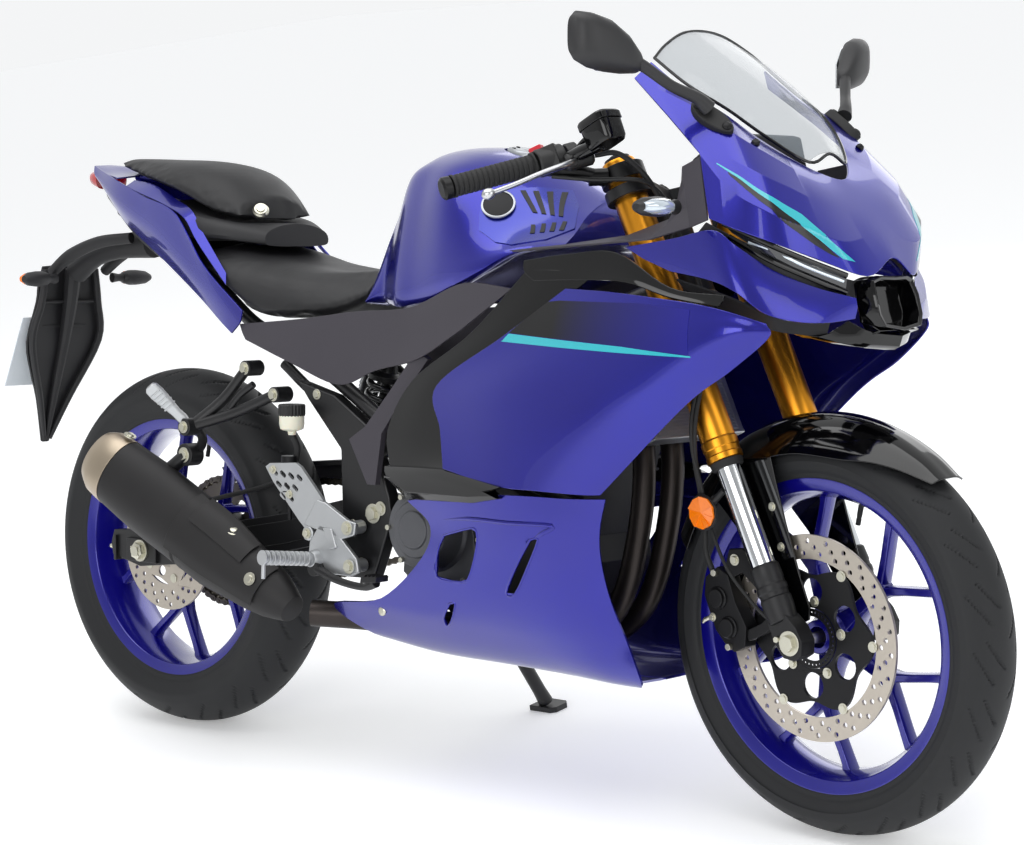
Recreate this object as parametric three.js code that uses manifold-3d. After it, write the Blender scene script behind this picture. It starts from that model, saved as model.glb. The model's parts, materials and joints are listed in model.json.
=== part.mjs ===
// Sport motorcycle of the 250 cc class, parked on its side stand.
// Millimetres, +Z up. In the bike frame X is forward, Y is the rider's left, and the origin is on
// the ground midway between the axles. The whole bike is then leaned onto its side stand.
import * as THREE from 'three';
import { mergeVertices } from 'three/addons/utils/BufferGeometryUtils.js';
import Module from 'manifold-3d';

const DEG = Math.PI / 180;

// Driving dimensions of the motorcycle.
const WHEELBASE = 1380;
const FRONT_RADIUS = 293; // 110/70-17 tyre
const REAR_RADIUS = 314; // 140/70-17 tyre
const RIM_RADIUS = 231; // outer edge of a 17 inch rim flange
const RAKE = 25 * DEG;
const TRAIL = 95;
const FORK_SPREAD = 97; // fork leg centre from the middle of the bike
const FORK_OFFSET = 30; // fork legs ahead of the steering axis
const LEAN = 10 * DEG; // towards the side stand
const PITCH = -0.036 * DEG; // settles both tyres on the ground once leaned and steered
const GROUND_SINK = -1.6; // the leaned tyres roll onto the rounded crown
const STEER = -5.3 * DEG; // the front wheel rests turned a little to the right

const FRONT_AXLE_X = WHEELBASE / 2;
const REAR_AXLE_X = -WHEELBASE / 2;
const STEER_FOOT_X = FRONT_AXLE_X + TRAIL; // where the steering axis meets the ground
const AXLE_AHEAD = FRONT_RADIUS * Math.sin(RAKE) - TRAIL * Math.cos(RAKE);
const AXLE_UP = FRONT_RADIUS * Math.cos(RAKE) + TRAIL * Math.sin(RAKE);

const wasm = await Module();
wasm.setup();

// ---------------------------------------------------------------- shapes

function volume(points, triangles) {
  const [a, b, c] = [new THREE.Vector3(), new THREE.Vector3(), new THREE.Vector3()];
  return triangles.reduce((sum, [i, j, k]) => {
    a.fromArray(points[i]);
    b.fromArray(points[j]);
    c.fromArray(points[k]);
    return sum + a.dot(b.cross(c)) / 6;
  }, 0);
}

// Closed mesh with its faces pointing out.
function body(points, triangles) {
  const faces = volume(points, triangles) < 0 ? triangles.map(([a, b, c]) => [a, c, b]) : triangles;
  const geometry = new THREE.BufferGeometry();
  geometry.setAttribute('position', new THREE.Float32BufferAttribute(points.flat(), 3));
  geometry.setIndex(faces.flat());
  return geometry;
}

// Merged vertices, no triangle that has shrunk to a line, and the faces pointing out.
function tidy(geometry) {
  const plain = geometry.clone();
  plain.deleteAttribute('normal');
  plain.deleteAttribute('uv');
  const merged = mergeVertices(plain, 1e-3);
  const { array } = merged.index;
  const kept = [];
  for (let i = 0; i < array.length; i += 3) {
    const [a, b, c] = [array[i], array[i + 1], array[i + 2]];
    if (a !== b && b !== c && c !== a) kept.push([a, b, c]);
  }
  const { array: numbers } = merged.attributes.position;
  const points = [];
  for (let i = 0; i < numbers.length; i += 3) points.push([numbers[i], numbers[i + 1], numbers[i + 2]]);
  return body(points, kept);
}

function solid(geometry) {
  const { attributes, index } = tidy(geometry);
  const mesh = new wasm.Mesh({
    numProp: 3,
    vertProperties: Float32Array.from(attributes.position.array),
    triVerts: Uint32Array.from(index.array),
  });
  return new wasm.Manifold(mesh);
}

function geometryOf(manifold) {
  const { vertProperties, triVerts } = manifold.getMesh();
  const geometry = new THREE.BufferGeometry();
  geometry.setAttribute('position', new THREE.BufferAttribute(Float32Array.from(vertProperties), 3));
  geometry.setIndex(new THREE.BufferAttribute(Uint32Array.from(triVerts), 1));
  return geometry;
}

function join(...geometries) {
  return geometryOf(geometries.map(solid).reduce((sum, next) => sum.add(next)));
}

function cut(geometry, ...tools) {
  return geometryOf(tools.map(solid).reduce((rest, tool) => rest.subtract(tool), solid(geometry)));
}

// The same piece on the other side of the bike.
function mirrored(geometry) {
  return tidy(tidy(geometry).scale(1, -1, 1));
}

function box([x, y, z], [length, width, height], turnY = 0) {
  return new THREE.BoxGeometry(length, width, height).rotateY(turnY).translate(x, y, z);
}

// Round bar between two points.
function rod(from, to, radius, sides = 14, endRadius = radius) {
  const start = new THREE.Vector3(...from);
  const along = new THREE.Vector3(...to).sub(start);
  const length = along.length();
  const turn = new THREE.Quaternion().setFromUnitVectors(new THREE.Vector3(0, 1, 0), along.normalize());
  return new THREE.CylinderGeometry(endRadius, radius, length, sides)
    .translate(0, length / 2, 0)
    .applyQuaternion(turn)
    .translate(...from);
}

function curveThrough(points) {
  const vectors = points.map((point) => new THREE.Vector3(...point));
  return new THREE.CatmullRomCurve3(vectors, false, 'centripetal');
}

// Round tube along a smooth curve.
function tube(points, radius, steps = 16, sides = 10) {
  const section = new THREE.Shape().absarc(0, 0, radius, 0, 2 * Math.PI);
  const options = { steps, extrudePath: curveThrough(points), bevelEnabled: false, curveSegments: sides / 2 };
  return new THREE.ExtrudeGeometry(section, options);
}

// Flat plate with an outline in side view, between two distances from the middle of the bike.
function plate(outline, nearY, farY, holes = []) {
  const shape = new THREE.Shape(outline.map(([x, z]) => new THREE.Vector2(x, z)));
  shape.holes = holes.map((hole) => new THREE.Path(hole.map(([x, z]) => new THREE.Vector2(x, z))));
  const depth = farY - nearY;
  return new THREE.ExtrudeGeometry(shape, { depth, bevelEnabled: false })
    .translate(0, 0, -farY)
    .rotateX(Math.PI / 2);
}

// Turned body about the Y axis. The profile is [radius, y] and closes on itself.
function turned(profile, segments) {
  const ring = [...profile, profile[0]].map(([radius, y]) => new THREE.Vector2(radius, y));
  return new THREE.LatheGeometry(ring, segments, -Math.PI / 2 - Math.PI / segments);
}

// Closed body through rings of equal point counts, with a fan over each end.
function loft(rings) {
  const count = rings[0].length;
  const points = rings.flat();
  const triangles = [];
  for (let r = 0; r < rings.length - 1; r += 1) {
    for (let i = 0; i < count; i += 1) {
      const a = r * count + i;
      const b = r * count + ((i + 1) % count);
      triangles.push([a, b, b + count], [a, b + count, a + count]);
    }
  }
  [0, rings.length - 1].forEach((r) => {
    const middle = [0, 1, 2].map((axis) => rings[r].reduce((sum, point) => sum + point[axis], 0) / count);
    points.push(middle);
    for (let i = 0; i < count; i += 1) {
      const edge = [r * count + i, r * count + ((i + 1) % count)];
      triangles.push(r === 0 ? [edge[1], edge[0], points.length - 1] : [...edge, points.length - 1]);
    }
  });
  return body(points, triangles);
}

function smooth(points, steps) {
  return curveThrough(points).getPoints((points.length - 1) * steps).map((point) => point.toArray());
}

function refine(grid, rowSteps, columnSteps) {
  const rows = grid.map((row) => smooth(row, columnSteps));
  const columns = rows[0].map((_, i) => smooth(rows.map((row) => row[i]), rowSteps));
  return columns[0].map((_, j) => columns.map((column) => column[j]));
}

// Panel of even thickness. The grid is its outer face, and its inner face lies towards `inside`.
function panel(grid, thickness, { rowSteps = 2, columnSteps = 2, inside = [200, 0, 600] } = {}) {
  const outer = refine(grid, rowSteps, columnSteps);
  const height = outer.length;
  const width = outer[0].length;
  const at = (j, i) => new THREE.Vector3(...outer[Math.min(Math.max(j, 0), height - 1)][
    Math.min(Math.max(i, 0), width - 1)]);
  const normals = outer.map((row, j) => row.map((_, i) => {
    const down = at(j + 1, i).sub(at(j - 1, i));
    const along = at(j, i + 1).sub(at(j, i - 1));
    return down.cross(along).normalize();
  }));
  const away = at(height >> 1, width >> 1).sub(new THREE.Vector3(...inside));
  const sign = normals[height >> 1][width >> 1].dot(away) > 0 ? -1 : 1;
  const inner = outer.map((row, j) => row.map((_, i) => at(j, i)
    .addScaledVector(normals[j][i], sign * thickness).toArray()));
  const edge = (rows) => [
    ...rows[0],
    ...rows.slice(1).map((row) => row[width - 1]),
    ...rows[height - 1].slice(0, -1).reverse(),
    ...rows.slice(1, -1).map((row) => row[0]).reverse(),
  ];
  return stitched(outer, inner, edge(outer), edge(inner));
}

// Joins two grids of equal size along their edges.
function stitched(outer, inner, outerEdge, innerEdge) {
  const points = [...outer.flat(), ...inner.flat()];
  const width = outer[0].length;
  const offset = outer.length * width;
  const triangles = [];
  for (let j = 0; j < outer.length - 1; j += 1) {
    for (let i = 0; i < width - 1; i += 1) {
      const [a, b, c, d] = [j * width + i, j * width + i + 1, (j + 1) * width + i + 1, (j + 1) * width + i];
      triangles.push([a, b, c], [a, c, d]);
      triangles.push([offset + a, offset + c, offset + b], [offset + a, offset + d, offset + c]);
    }
  }
  const start = points.length;
  const count = outerEdge.length;
  points.push(...outerEdge, ...innerEdge);
  for (let i = 0; i < count; i += 1) {
    const next = (i + 1) % count;
    triangles.push([start + i, start + count + i, start + count + next]);
    triangles.push([start + i, start + count + next, start + next]);
  }
  return tidy(body(points, triangles));
}

// Ring in a cross-section at x. The half outline is [y, z] from the top middle to the bottom middle.
function crossRing(x, half) {
  const left = half.map(([y, z]) => [x, y, z]);
  const right = half.slice(1, -1).map(([y, z]) => [x, -y, z]).reverse();
  return [...left, ...right];
}

// ---------------------------------------------------------------- materials and nodes

const finish = (color, roughness, metalness = 0) => new THREE.MeshStandardMaterial({
  color, roughness, metalness, side: THREE.FrontSide,
});
const paint = finish(0x2a24b8, 0.3, 0.4);
const glossBlack = finish(0x08080a, 0.15);
const matteGrey = finish(0x2b2b30, 0.7);
const matteBlack = finish(0x141416, 0.7);
const blackMetal = finish(0x17171a, 0.5, 0.6);
const gold = finish(0xc98a2b, 0.35, 1);
const chrome = finish(0xd8dade, 0.12, 1);
const aluminium = finish(0xb4b6b9, 0.45, 1);
const steel = finish(0x8c8a85, 0.4, 1);
const rubber = finish(0x121212, 0.85);
const vinyl = finish(0x18181a, 0.6);
const clear = finish(0xdfe3e6, 0.05);
const redLens = finish(0x8e1218, 0.2);
const amberLens = finish(0xe07a1a, 0.2);
const plateWhite = finish(0xd9dde0, 0.5);

const bike = new THREE.Group(); // bike frame, before the lean
const fork = new THREE.Group(); // local z is the steering axis, local x is ahead of it
fork.position.set(STEER_FOOT_X, 0, 0);
fork.rotation.set(0, -RAKE, STEER, 'XYZ');
bike.add(fork);

function add(parent, name, geometry, material) {
  const mesh = new THREE.Mesh(tidy(geometry), material);
  mesh.name = name;
  parent.add(mesh);
  return mesh;
}

function addPair(parent, name, geometry, material) {
  add(parent, `${name}_left`, geometry, material);
  add(parent, `${name}_right`, mirrored(geometry), material);
}

// ---------------------------------------------------------------- wheels

const TYRE_SEGMENTS = 40;

// Round-crowned tyre seated outside the rim flanges.
function tyre(radius, width, crownRadius) {
  const half = width / 2;
  const reach = Math.asin((half - 3) / crownRadius);
  const crown = [-reach, -34 * DEG, -LEAN, LEAN, 34 * DEG, reach].map((angle) => [
    radius - crownRadius * (1 - Math.cos(angle)), crownRadius * Math.sin(angle),
  ]);
  const shoulder = crown[0][0];
  const side = [[shoulder - 14, half], [RIM_RADIUS + 6, half - 8], [RIM_RADIUS - 9, half - 20]];
  const profile = [
    ...crown,
    ...side,
    ...side.map(([r, y]) => [r, -y]).reverse(),
  ];
  const flatOut = 1 / Math.cos(Math.PI / TYRE_SEGMENTS);
  return turned(profile.map(([r, y]) => [r * flatOut, y]), TYRE_SEGMENTS);
}

// Cast wheel with five spokes, each split in two on its way to the rim.
function wheel(halfWidth, hubHalf, hubRadius, boreRadius) {
  const rim = turned([
    [RIM_RADIUS - 12, -halfWidth + 6], [RIM_RADIUS - 10, -halfWidth], [RIM_RADIUS - 24, -halfWidth],
    [RIM_RADIUS - 36, -12], [RIM_RADIUS - 36, 12], [RIM_RADIUS - 24, halfWidth],
    [RIM_RADIUS - 10, halfWidth], [RIM_RADIUS - 12, halfWidth - 6], [RIM_RADIUS - 26, 12],
    [RIM_RADIUS - 26, -12],
  ], 32);
  const hub = turned([
    [boreRadius, -hubHalf], [hubRadius * 0.7, -hubHalf], [hubRadius, -hubHalf * 0.5],
    [hubRadius, hubHalf * 0.5], [hubRadius * 0.7, hubHalf], [boreRadius, hubHalf],
  ], 20);
  const spokes = [];
  for (let k = 0; k < 5; k += 1) {
    const middle = 41 * DEG + (k * 2 * Math.PI) / 5;
    const at = (radius, turn) => [radius * Math.cos(middle + turn), 0, radius * Math.sin(middle + turn)];
    spokes.push(bar(at(hubRadius * 0.85, 0), at(118, 0), 26, 24));
    [-1, 1].forEach((side) => {
      spokes.push(bar(at(104, side * 2 * DEG), at(RIM_RADIUS - 29, side * 19 * DEG), 17, 22));
    });
  }
  return join(rim, hub, ...spokes);
}

// Flat-sided bar in a wheel's plane.
function bar(from, to, width, thickness) {
  const dx = to[0] - from[0];
  const dz = to[2] - from[2];
  const length = Math.hypot(dx, dz);
  return new THREE.BoxGeometry(length, thickness, width)
    .rotateY(-Math.atan2(dz, dx))
    .translate((from[0] + to[0]) / 2, (from[1] + to[1]) / 2, (from[2] + to[2]) / 2);
}

// Brake disc on a dished carrier, at y from the wheel's middle.
function disc(radius, y, thickness) {
  const inner = radius * 0.3;
  return turned([
    [inner, y - thickness / 2], [radius, y - thickness / 2],
    [radius, y + thickness / 2], [inner, y + thickness / 2],
  ], 40);
}

const FRONT_DISC_Y = -58;
const REAR_DISC_Y = -62;
const SPROCKET_Y = 83;
const AXLE_RADIUS = 9;

const frontWheel = new THREE.Group();
frontWheel.position.set(AXLE_AHEAD, 0, AXLE_UP);
frontWheel.rotation.y = RAKE;
fork.add(frontWheel);
add(frontWheel, 'front_tyre', tyre(FRONT_RADIUS, 110, 62), rubber);
add(frontWheel, 'front_wheel_rim', wheel(41, 54, 34, 14.5), paint);
add(frontWheel, 'front_brake_disc', disc(149, FRONT_DISC_Y, 5), steel);

const rearWheel = new THREE.Group();
rearWheel.position.set(REAR_AXLE_X, 0, REAR_RADIUS);
bike.add(rearWheel);
add(rearWheel, 'rear_tyre', tyre(REAR_RADIUS, 140, 78), rubber);
add(rearWheel, 'rear_wheel_rim', join(wheel(55, 60, 40, 15), sprocket()), paint);
add(rearWheel, 'rear_brake_disc', disc(110, REAR_DISC_Y, 5), steel);

// Sprocket on its cush-drive carrier beside the hub.
function sprocket() {
  return turned([
    [15, 55], [38, 55], [46, SPROCKET_Y - 3], [103, SPROCKET_Y - 3], [103, SPROCKET_Y + 3], [15, SPROCKET_Y + 3],
  ], 40);
}

// ---------------------------------------------------------------- fork and bars

const SLIDER_TOP = 583;
const OUTER_TOP = 1060;
const LEG_RADIUS = 26;
const LOWER_YOKE = 790;
const UPPER_YOKE = 1000;

function yoke(height, thickness, depth) {
  const outline = new THREE.Shape();
  outline.absarc(FORK_OFFSET, FORK_SPREAD, 36, -20 * DEG, 170 * DEG);
  outline.lineTo(-depth, 22);
  outline.lineTo(-depth, -22);
  outline.absarc(FORK_OFFSET, -FORK_SPREAD, 36, -170 * DEG, 20 * DEG);
  return new THREE.ExtrudeGeometry(outline, { depth: thickness, bevelEnabled: false, curveSegments: 6 })
    .translate(0, 0, height);
}

// Both yokes with the stem between them, clamped on the two anodised outer tubes.
function forkUpper() {
  const legs = [-1, 1].map((side) => rod(
    [FORK_OFFSET, side * FORK_SPREAD, SLIDER_TOP],
    [FORK_OFFSET, side * FORK_SPREAD, OUTER_TOP],
    LEG_RADIUS,
    20,
  ));
  const stem = rod([0, 0, LOWER_YOKE + 5], [0, 0, UPPER_YOKE + 32], 14);
  return join(yoke(LOWER_YOKE, 30, 26), yoke(UPPER_YOKE, 18, 26), stem, ...legs);
}
add(fork, 'fork_upper', forkUpper(), gold);

// Chromed inner tubes in their axle feet, with the axle between them.
function forkLowers() {
  const legs = [-1, 1].flatMap((side) => [
    rod([FORK_OFFSET, side * FORK_SPREAD, 400], [FORK_OFFSET, side * FORK_SPREAD, SLIDER_TOP - 0.4], 18.5),
    rod([FORK_OFFSET, side * FORK_SPREAD, 325], [FORK_OFFSET, side * FORK_SPREAD, 425], 23),
    rod([AXLE_AHEAD, side * 80, AXLE_UP], [AXLE_AHEAD, side * 114, AXLE_UP], 25),
    box([FORK_OFFSET + 2, side * 97, 335], [40, 34, 50]),
  ]);
  return join(rod([AXLE_AHEAD, -114, AXLE_UP], [AXLE_AHEAD, 114, AXLE_UP], AXLE_RADIUS), ...legs);
}
add(fork, 'fork_lowers', forkLowers(), chrome);

// Two-piston caliper behind the right leg, straddling the disc.
function frontCaliper() {
  const block = plate([
    [-104, 425], [-84, 452], [-52, 456], [-34, 420], [-40, 350], [-62, 326], [-96, 350],
  ], -94, -40);
  const slot = rod([AXLE_AHEAD, FRONT_DISC_Y - 8, AXLE_UP], [AXLE_AHEAD, FRONT_DISC_Y + 8, AXLE_UP], 157, 40);
  const lug = box([-16, -90, AXLE_UP + 105], [44, 20, 50]);
  return cut(join(block, lug), slot);
}
add(fork, 'front_brake_caliper', frontCaliper(), blackMetal);

// Mudguard hugging the tyre, with a flank down inside each fork leg.
function frontFender() {
  const rows = [];
  for (let k = 0; k <= 8; k += 1) {
    const angle = (50 + (k * 105) / 8) * DEG - RAKE;
    const lift = 18 + 8 * Math.sin((Math.PI * k) / 8);
    const half = 70 - 4 * Math.abs(k - 4) / 4;
    const row = [];
    for (let i = -3; i <= 3; i += 1) {
      const side = i / 3;
      const drop = 46 * side * side;
      const radius = FRONT_RADIUS + lift - drop;
      row.push([AXLE_AHEAD + radius * Math.cos(angle), half * side, AXLE_UP + radius * Math.sin(angle)]);
    }
    rows.push(row);
  }
  const hood = panel(rows, 4, { rowSteps: 1, columnSteps: 2, inside: [AXLE_AHEAD, 0, AXLE_UP] });
  const flank = plate([
    [-34, 566], [88, 568], [66, 470], [58, 340], [20, 330], [10, 400], [-10, 490],
  ], 66.5, 70.5);
  return join(hood, flank, mirrored(flank));
}
add(fork, 'front_fender', frontFender(), glossBlack);

// Clip-on bar with its grip, switch box, lever and clamp, for the left side.
function clipOn() {
  const clampHeight = UPPER_YOKE + 24;
  const ring = cut(
    rod([FORK_OFFSET, FORK_SPREAD, clampHeight], [FORK_OFFSET, FORK_SPREAD, clampHeight + 26], 36, 16),
    rod([FORK_OFFSET, FORK_SPREAD, clampHeight - 5], [FORK_OFFSET, FORK_SPREAD, clampHeight + 40], 27, 16),
  );
  const root = [FORK_OFFSET - 6, FORK_SPREAD + 32, clampHeight + 13];
  const inner = [-14, 222, 1081];
  const outer = [-74, 338, 1078];
  const along = (t) => [0, 1, 2].map((axis) => inner[axis] + t * (outer[axis] - inner[axis]));
  const lever = tube([[36, 192, 1062], [48, 226, 1050], [22, 280, 1042], [-16, 334, 1038]], 6, 8, 6);
  return join(
    ring,
    rod(root, inner, 11),
    rod(inner, along(1), 16, 12),
    rod(along(0.98), along(1.1), 17, 12),
    box([-8, 202, 1080], [40, 40, 34]),
    rod([-6, 196, 1074], [38, 192, 1062], 9, 10),
    lever,
  );
}
const leftBar = clipOn();
add(fork, 'handlebar_left', leftBar, matteBlack);
const reservoir = join(
  rod([6, -186, 1074], [90, -176, 1068], 7, 8),
  rod([92, -176, 1060], [92, -176, 1090], 22, 16),
  rod([92, -176, 1090], [92, -176, 1100], 24, 16),
);
add(fork, 'handlebar_right', join(mirrored(leftBar), reservoir), matteBlack);

// ---------------------------------------------------------------- frame and drive

function steelFrame() {
  const axis = (s) => [STEER_FOOT_X - s * Math.sin(RAKE), 0, s * Math.cos(RAKE)];
  const headTube = rod(axis(826), axis(990), 33, 20);
  const bore = rod(axis(800), axis(1010), 22, 20);
  const left = [
    tube([
      [410, 26, 790], [352, 54, 764], [312, 90, 742], [180, 128, 700], [-20, 134, 620], [-110, 134, 540],
    ], 17, 10, 8),
    tube([
      [405, 24, 775], [352, 50, 758], [306, 88, 730], [240, 124, 690], [60, 136, 600], [-90, 134, 520],
    ], 12, 10, 8),
    tube([[-100, 128, 570], [-300, 108, 672], [-420, 98, 712], [-520, 86, 770], [-700, 56, 862], [-846, 24, 908]],
      12, 14, 8),
    plate([
      [-277, 627], [-193, 606], [-112, 556], [-70, 449], [-64, 418], [-89, 353], [-105, 316],
      [-172, 314], [-175, 409], [-178, 520], [-251, 596],
    ], 121, 150),
  ];
  const crossings = [
    rod([-70, -130, 560], [-70, 130, 560], 16),
    rod([-300, -110, 672], [-300, 110, 672], 12),
    rod([-836, -28, 905], [-836, 28, 905], 12),
  ];
  return cut(join(headTube, ...left, ...left.map(mirrored), ...crossings), bore);
}
add(bike, 'frame', steelFrame(), matteBlack);

// Crankcase with the inclined twin cylinder block and the round covers each side.
function engine() {
  const crankcase = plate([
    [-66, 305], [-30, 276], [120, 266], [235, 304], [262, 360], [250, 440], [90, 500], [-40, 480],
    [-70, 390],
  ], -112, 112);
  const cylinders = plate([[70, 480], [110, 600], [160, 655], [270, 630], [310, 566], [262, 400]], -85, 85);
  const clutchCover = rod([8, -110, 405], [8, -178, 405], 66, 24, 62);
  const generatorCover = rod([60, 110, 380], [60, 160, 380], 72, 24, 66);
  const chainPocket = box([-25, 100, 412], [110, 60, 112]);
  const sprocketCover = box([12, 100, 412], [124, 10, 104]);
  return join(cut(join(crankcase, cylinders), chainPocket), clutchCover, generatorCover, sprocketCover);
}
add(bike, 'engine', engine(), finish(0x4a4a4c, 0.5, 0.7));

add(bike, 'radiator', box([389, 0, 636], [26, 226, 173], -RAKE), aluminium);

// Two header pipes under the engine into one collector that leads to the muffler.
function headers() {
  const pipes = [-45, 25].map((y) => tube([
    [330, y, 596], [362, y, 545], [360, y - 4, 430], [322, y - 10, 300], [230, y - 14, 234],
    [120, -35 + y * 0.4, 228],
  ], 18, 12, 8));
  const collector = tube([[150, -35, 230], [60, -40, 232], [-60, -62, 238], [-160, -106, 246],
    [-236, -154, 250]], 22, 8, 8);
  return join(...pipes, collector);
}
add(bike, 'exhaust_headers', headers(), steel);

// Muffler body: a rounded triangular section that grows towards its end cap.
const MUFFLER_FRONT = [-262, -172, 256];
const MUFFLER_REAR = [-700, -214, 490];

function mufflerRing(t, width, height, grow = 0) {
  const centre = [0, 1, 2].map((axis) => MUFFLER_FRONT[axis] + t * (MUFFLER_REAR[axis] - MUFFLER_FRONT[axis]));
  const slope = Math.atan2(MUFFLER_REAR[2] - MUFFLER_FRONT[2], MUFFLER_FRONT[0] - MUFFLER_REAR[0]);
  const ring = [];
  for (let i = 0; i < 16; i += 1) {
    const angle = (2 * Math.PI * i) / 16;
    const across = (width + grow) * Math.cos(angle) * (1 - 0.16 * Math.sin(angle));
    const up = (height + grow) * Math.sin(angle);
    ring.push([centre[0] + up * Math.sin(slope), centre[1] + across, centre[2] + up * Math.cos(slope)]);
  }
  return ring;
}
add(bike, 'muffler', loft([
  mufflerRing(0.0, 26, 26), mufflerRing(0.12, 38, 46), mufflerRing(0.35, 48, 66),
  mufflerRing(0.7, 50, 67), mufflerRing(0.86, 48, 62),
]), matteBlack);
add(bike, 'muffler_end_cap', loft([
  mufflerRing(0.862, 48, 62), mufflerRing(0.93, 46, 60), mufflerRing(0.97, 40, 52), mufflerRing(0.985, 30, 38),
]), steel);

// Box-section swingarm with its pivot sleeve, cross brace and rear axle.
function swingarm() {
  const arm = plate([
    [-76, 448], [-130, 452], [-330, 405], [-600, 356], [-770, 346], [-778, 300], [-700, 284],
    [-560, 300], [-330, 340], [-130, 385], [-76, 396],
  ], 96, 119);
  const guard = join(
    plate([[-300, 482], [-420, 474], [-640, 454], [-700, 446], [-696, 440], [-420, 466], [-300, 474]], 76, 112),
    plate([[-300, 480], [-640, 452], [-640, 345], [-600, 345], [-560, 420], [-300, 440]], 109, 113),
  );
  return join(
    arm,
    mirrored(arm),
    guard,
    rod([-104, -118, 421], [-104, 118, 421], 17, 16),
    box([-285, 0, 378], [70, 200, 44], 10 * DEG),
    rod([REAR_AXLE_X, -138, REAR_RADIUS], [REAR_AXLE_X, 138, REAR_RADIUS], AXLE_RADIUS, 14),
    rod([REAR_AXLE_X, 114, REAR_RADIUS], [REAR_AXLE_X, 124, REAR_RADIUS], 17, 12),
    rod([REAR_AXLE_X, -114, REAR_RADIUS], [REAR_AXLE_X, -124, REAR_RADIUS], 17, 12),
  );
}
add(bike, 'swingarm', swingarm(), matteBlack);

add(bike, 'rear_shock', join(
  rod([-262, 0, 440], [-205, 0, 660], 10),
  rod([-252, 0, 478], [-212, 0, 633], 33, 20),
), finish(0x1a1a1c, 0.4, 0.5));

// Chain loop round both sprockets.
function chain() {
  const rear = [REAR_AXLE_X, REAR_RADIUS];
  const front = [-20, 416];
  const loop = (rearRadius, frontRadius) => {
    const points = [];
    for (let k = 0; k <= 16; k += 1) {
      const angle = (92 + (193 * k) / 16) * DEG;
      points.push([rear[0] + rearRadius * Math.cos(angle), rear[1] + rearRadius * Math.sin(angle)]);
    }
    for (let k = 0; k <= 6; k += 1) {
      const angle = (-75 + (167 * k) / 6) * DEG;
      points.push([front[0] + frontRadius * Math.cos(angle), front[1] + frontRadius * Math.sin(angle)]);
    }
    return points;
  };
  return plate(loop(119, 40), SPROCKET_Y - 6, SPROCKET_Y + 6, [loop(109, 30)]);
}
add(bike, 'drive_chain', chain(), steel);

// Caliper over the rear disc, with its hose up to the master cylinder and reservoir.
function rearBrake() {
  const caliper = plate([[-660, 345], [-600, 352], [-590, 400], [-640, 412], [-672, 392]], -86, -42);
  const slot = rod([REAR_AXLE_X, REAR_DISC_Y - 8, REAR_RADIUS], [REAR_AXLE_X, REAR_DISC_Y + 8, REAR_RADIUS],
    118, 40);
  const hose = tube([[-610, -80, 396], [-540, -84, 412], [-420, -84, 440], [-330, -100, 470],
    [-290, -134, 502]], 4, 12, 8);
  return join(
    cut(caliper, slot),
    hose,
    rod([-290, -130, 502], [-276, -166, 508], 6, 8),
    rod([-276, -164, 500], [-276, -164, 548], 14, 12),
    rod([-276, -166, 540], [-276, -166, 588], 22, 16),
  );
}
add(bike, 'rear_brake', rearBrake(), blackMetal);

// ---------------------------------------------------------------- tank, seats and tail

const TANK_BEHIND_FORK = -74; // from the steering axis, clear of the yokes at full lock

function fuelTank() {
  const rings = [
    crossRing(-150, [[0, 775], [60, 772], [100, 764], [114, 755], [60, 750], [0, 750]]),
    crossRing(-122, [[0, 880], [60, 872], [96, 838], [116, 762], [60, 748], [0, 748]]),
    crossRing(-98, [[0, 945], [58, 936], [96, 880], [122, 765], [70, 752], [0, 752]]),
    crossRing(-55, [[0, 984], [78, 970], [118, 930], [144, 760], [80, 762], [0, 762]]),
    crossRing(0, [[0, 1000], [96, 984], [140, 930], [158, 766], [90, 772], [0, 772]]),
    crossRing(80, [[0, 997], [104, 982], [168, 928], [180, 780], [100, 790], [0, 790]]),
    crossRing(160, [[0, 974], [96, 952], [164, 886], [196, 806], [110, 815], [0, 815]]),
    crossRing(230, [[0, 940], [84, 916], [140, 874], [190, 836], [110, 838], [0, 838]]),
    crossRing(310, [[0, 900], [74, 886], [130, 862], [160, 846], [100, 848], [0, 848]]),
  ];
  const forkSwing = new THREE.BoxGeometry(400, 400, 600)
    .translate(TANK_BEHIND_FORK + 200, 0, 1000)
    .rotateY(-RAKE)
    .translate(STEER_FOOT_X, 0, 0);
  return cut(loft(rings), forkSwing);
}
// The filler cap lies in a round pocket that follows the slope of the tank's top.
const CAP_SLOPE = 10 * DEG;
const cap = new THREE.Group(); // hinged at its front edge
cap.position.set(105, 0, 982);
cap.rotation.y = CAP_SLOPE;
bike.add(cap);
const capPocket = rod([0, 0, -6], [0, 0, 60], 50, 24).rotateY(CAP_SLOPE).translate(105, 0, 982);
add(bike, 'fuel_tank', cut(fuelTank(), capPocket), paint);
add(cap, 'fuel_cap', rod([0, 0, 0], [0, 0, 14], 42, 24, 40), aluminium);

const riderSeat = loft([
  crossRing(-535, [[0, 852], [70, 850], [114, 842], [122, 830], [70, 822], [0, 820]]),
  crossRing(-460, [[0, 834], [80, 834], [132, 816], [146, 782], [80, 778], [0, 778]]),
  crossRing(-380, [[0, 814], [84, 814], [134, 795], [150, 740], [80, 736], [0, 736]]),
  crossRing(-280, [[0, 802], [76, 802], [122, 786], [144, 734], [80, 730], [0, 730]]),
  crossRing(-210, [[0, 804], [60, 802], [98, 788], [126, 744], [70, 738], [0, 738]]),
  crossRing(-156, [[0, 808], [46, 806], [78, 796], [100, 768], [50, 764], [0, 764]]),
]);
add(bike, 'rider_seat', riderSeat, vinyl);

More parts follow.
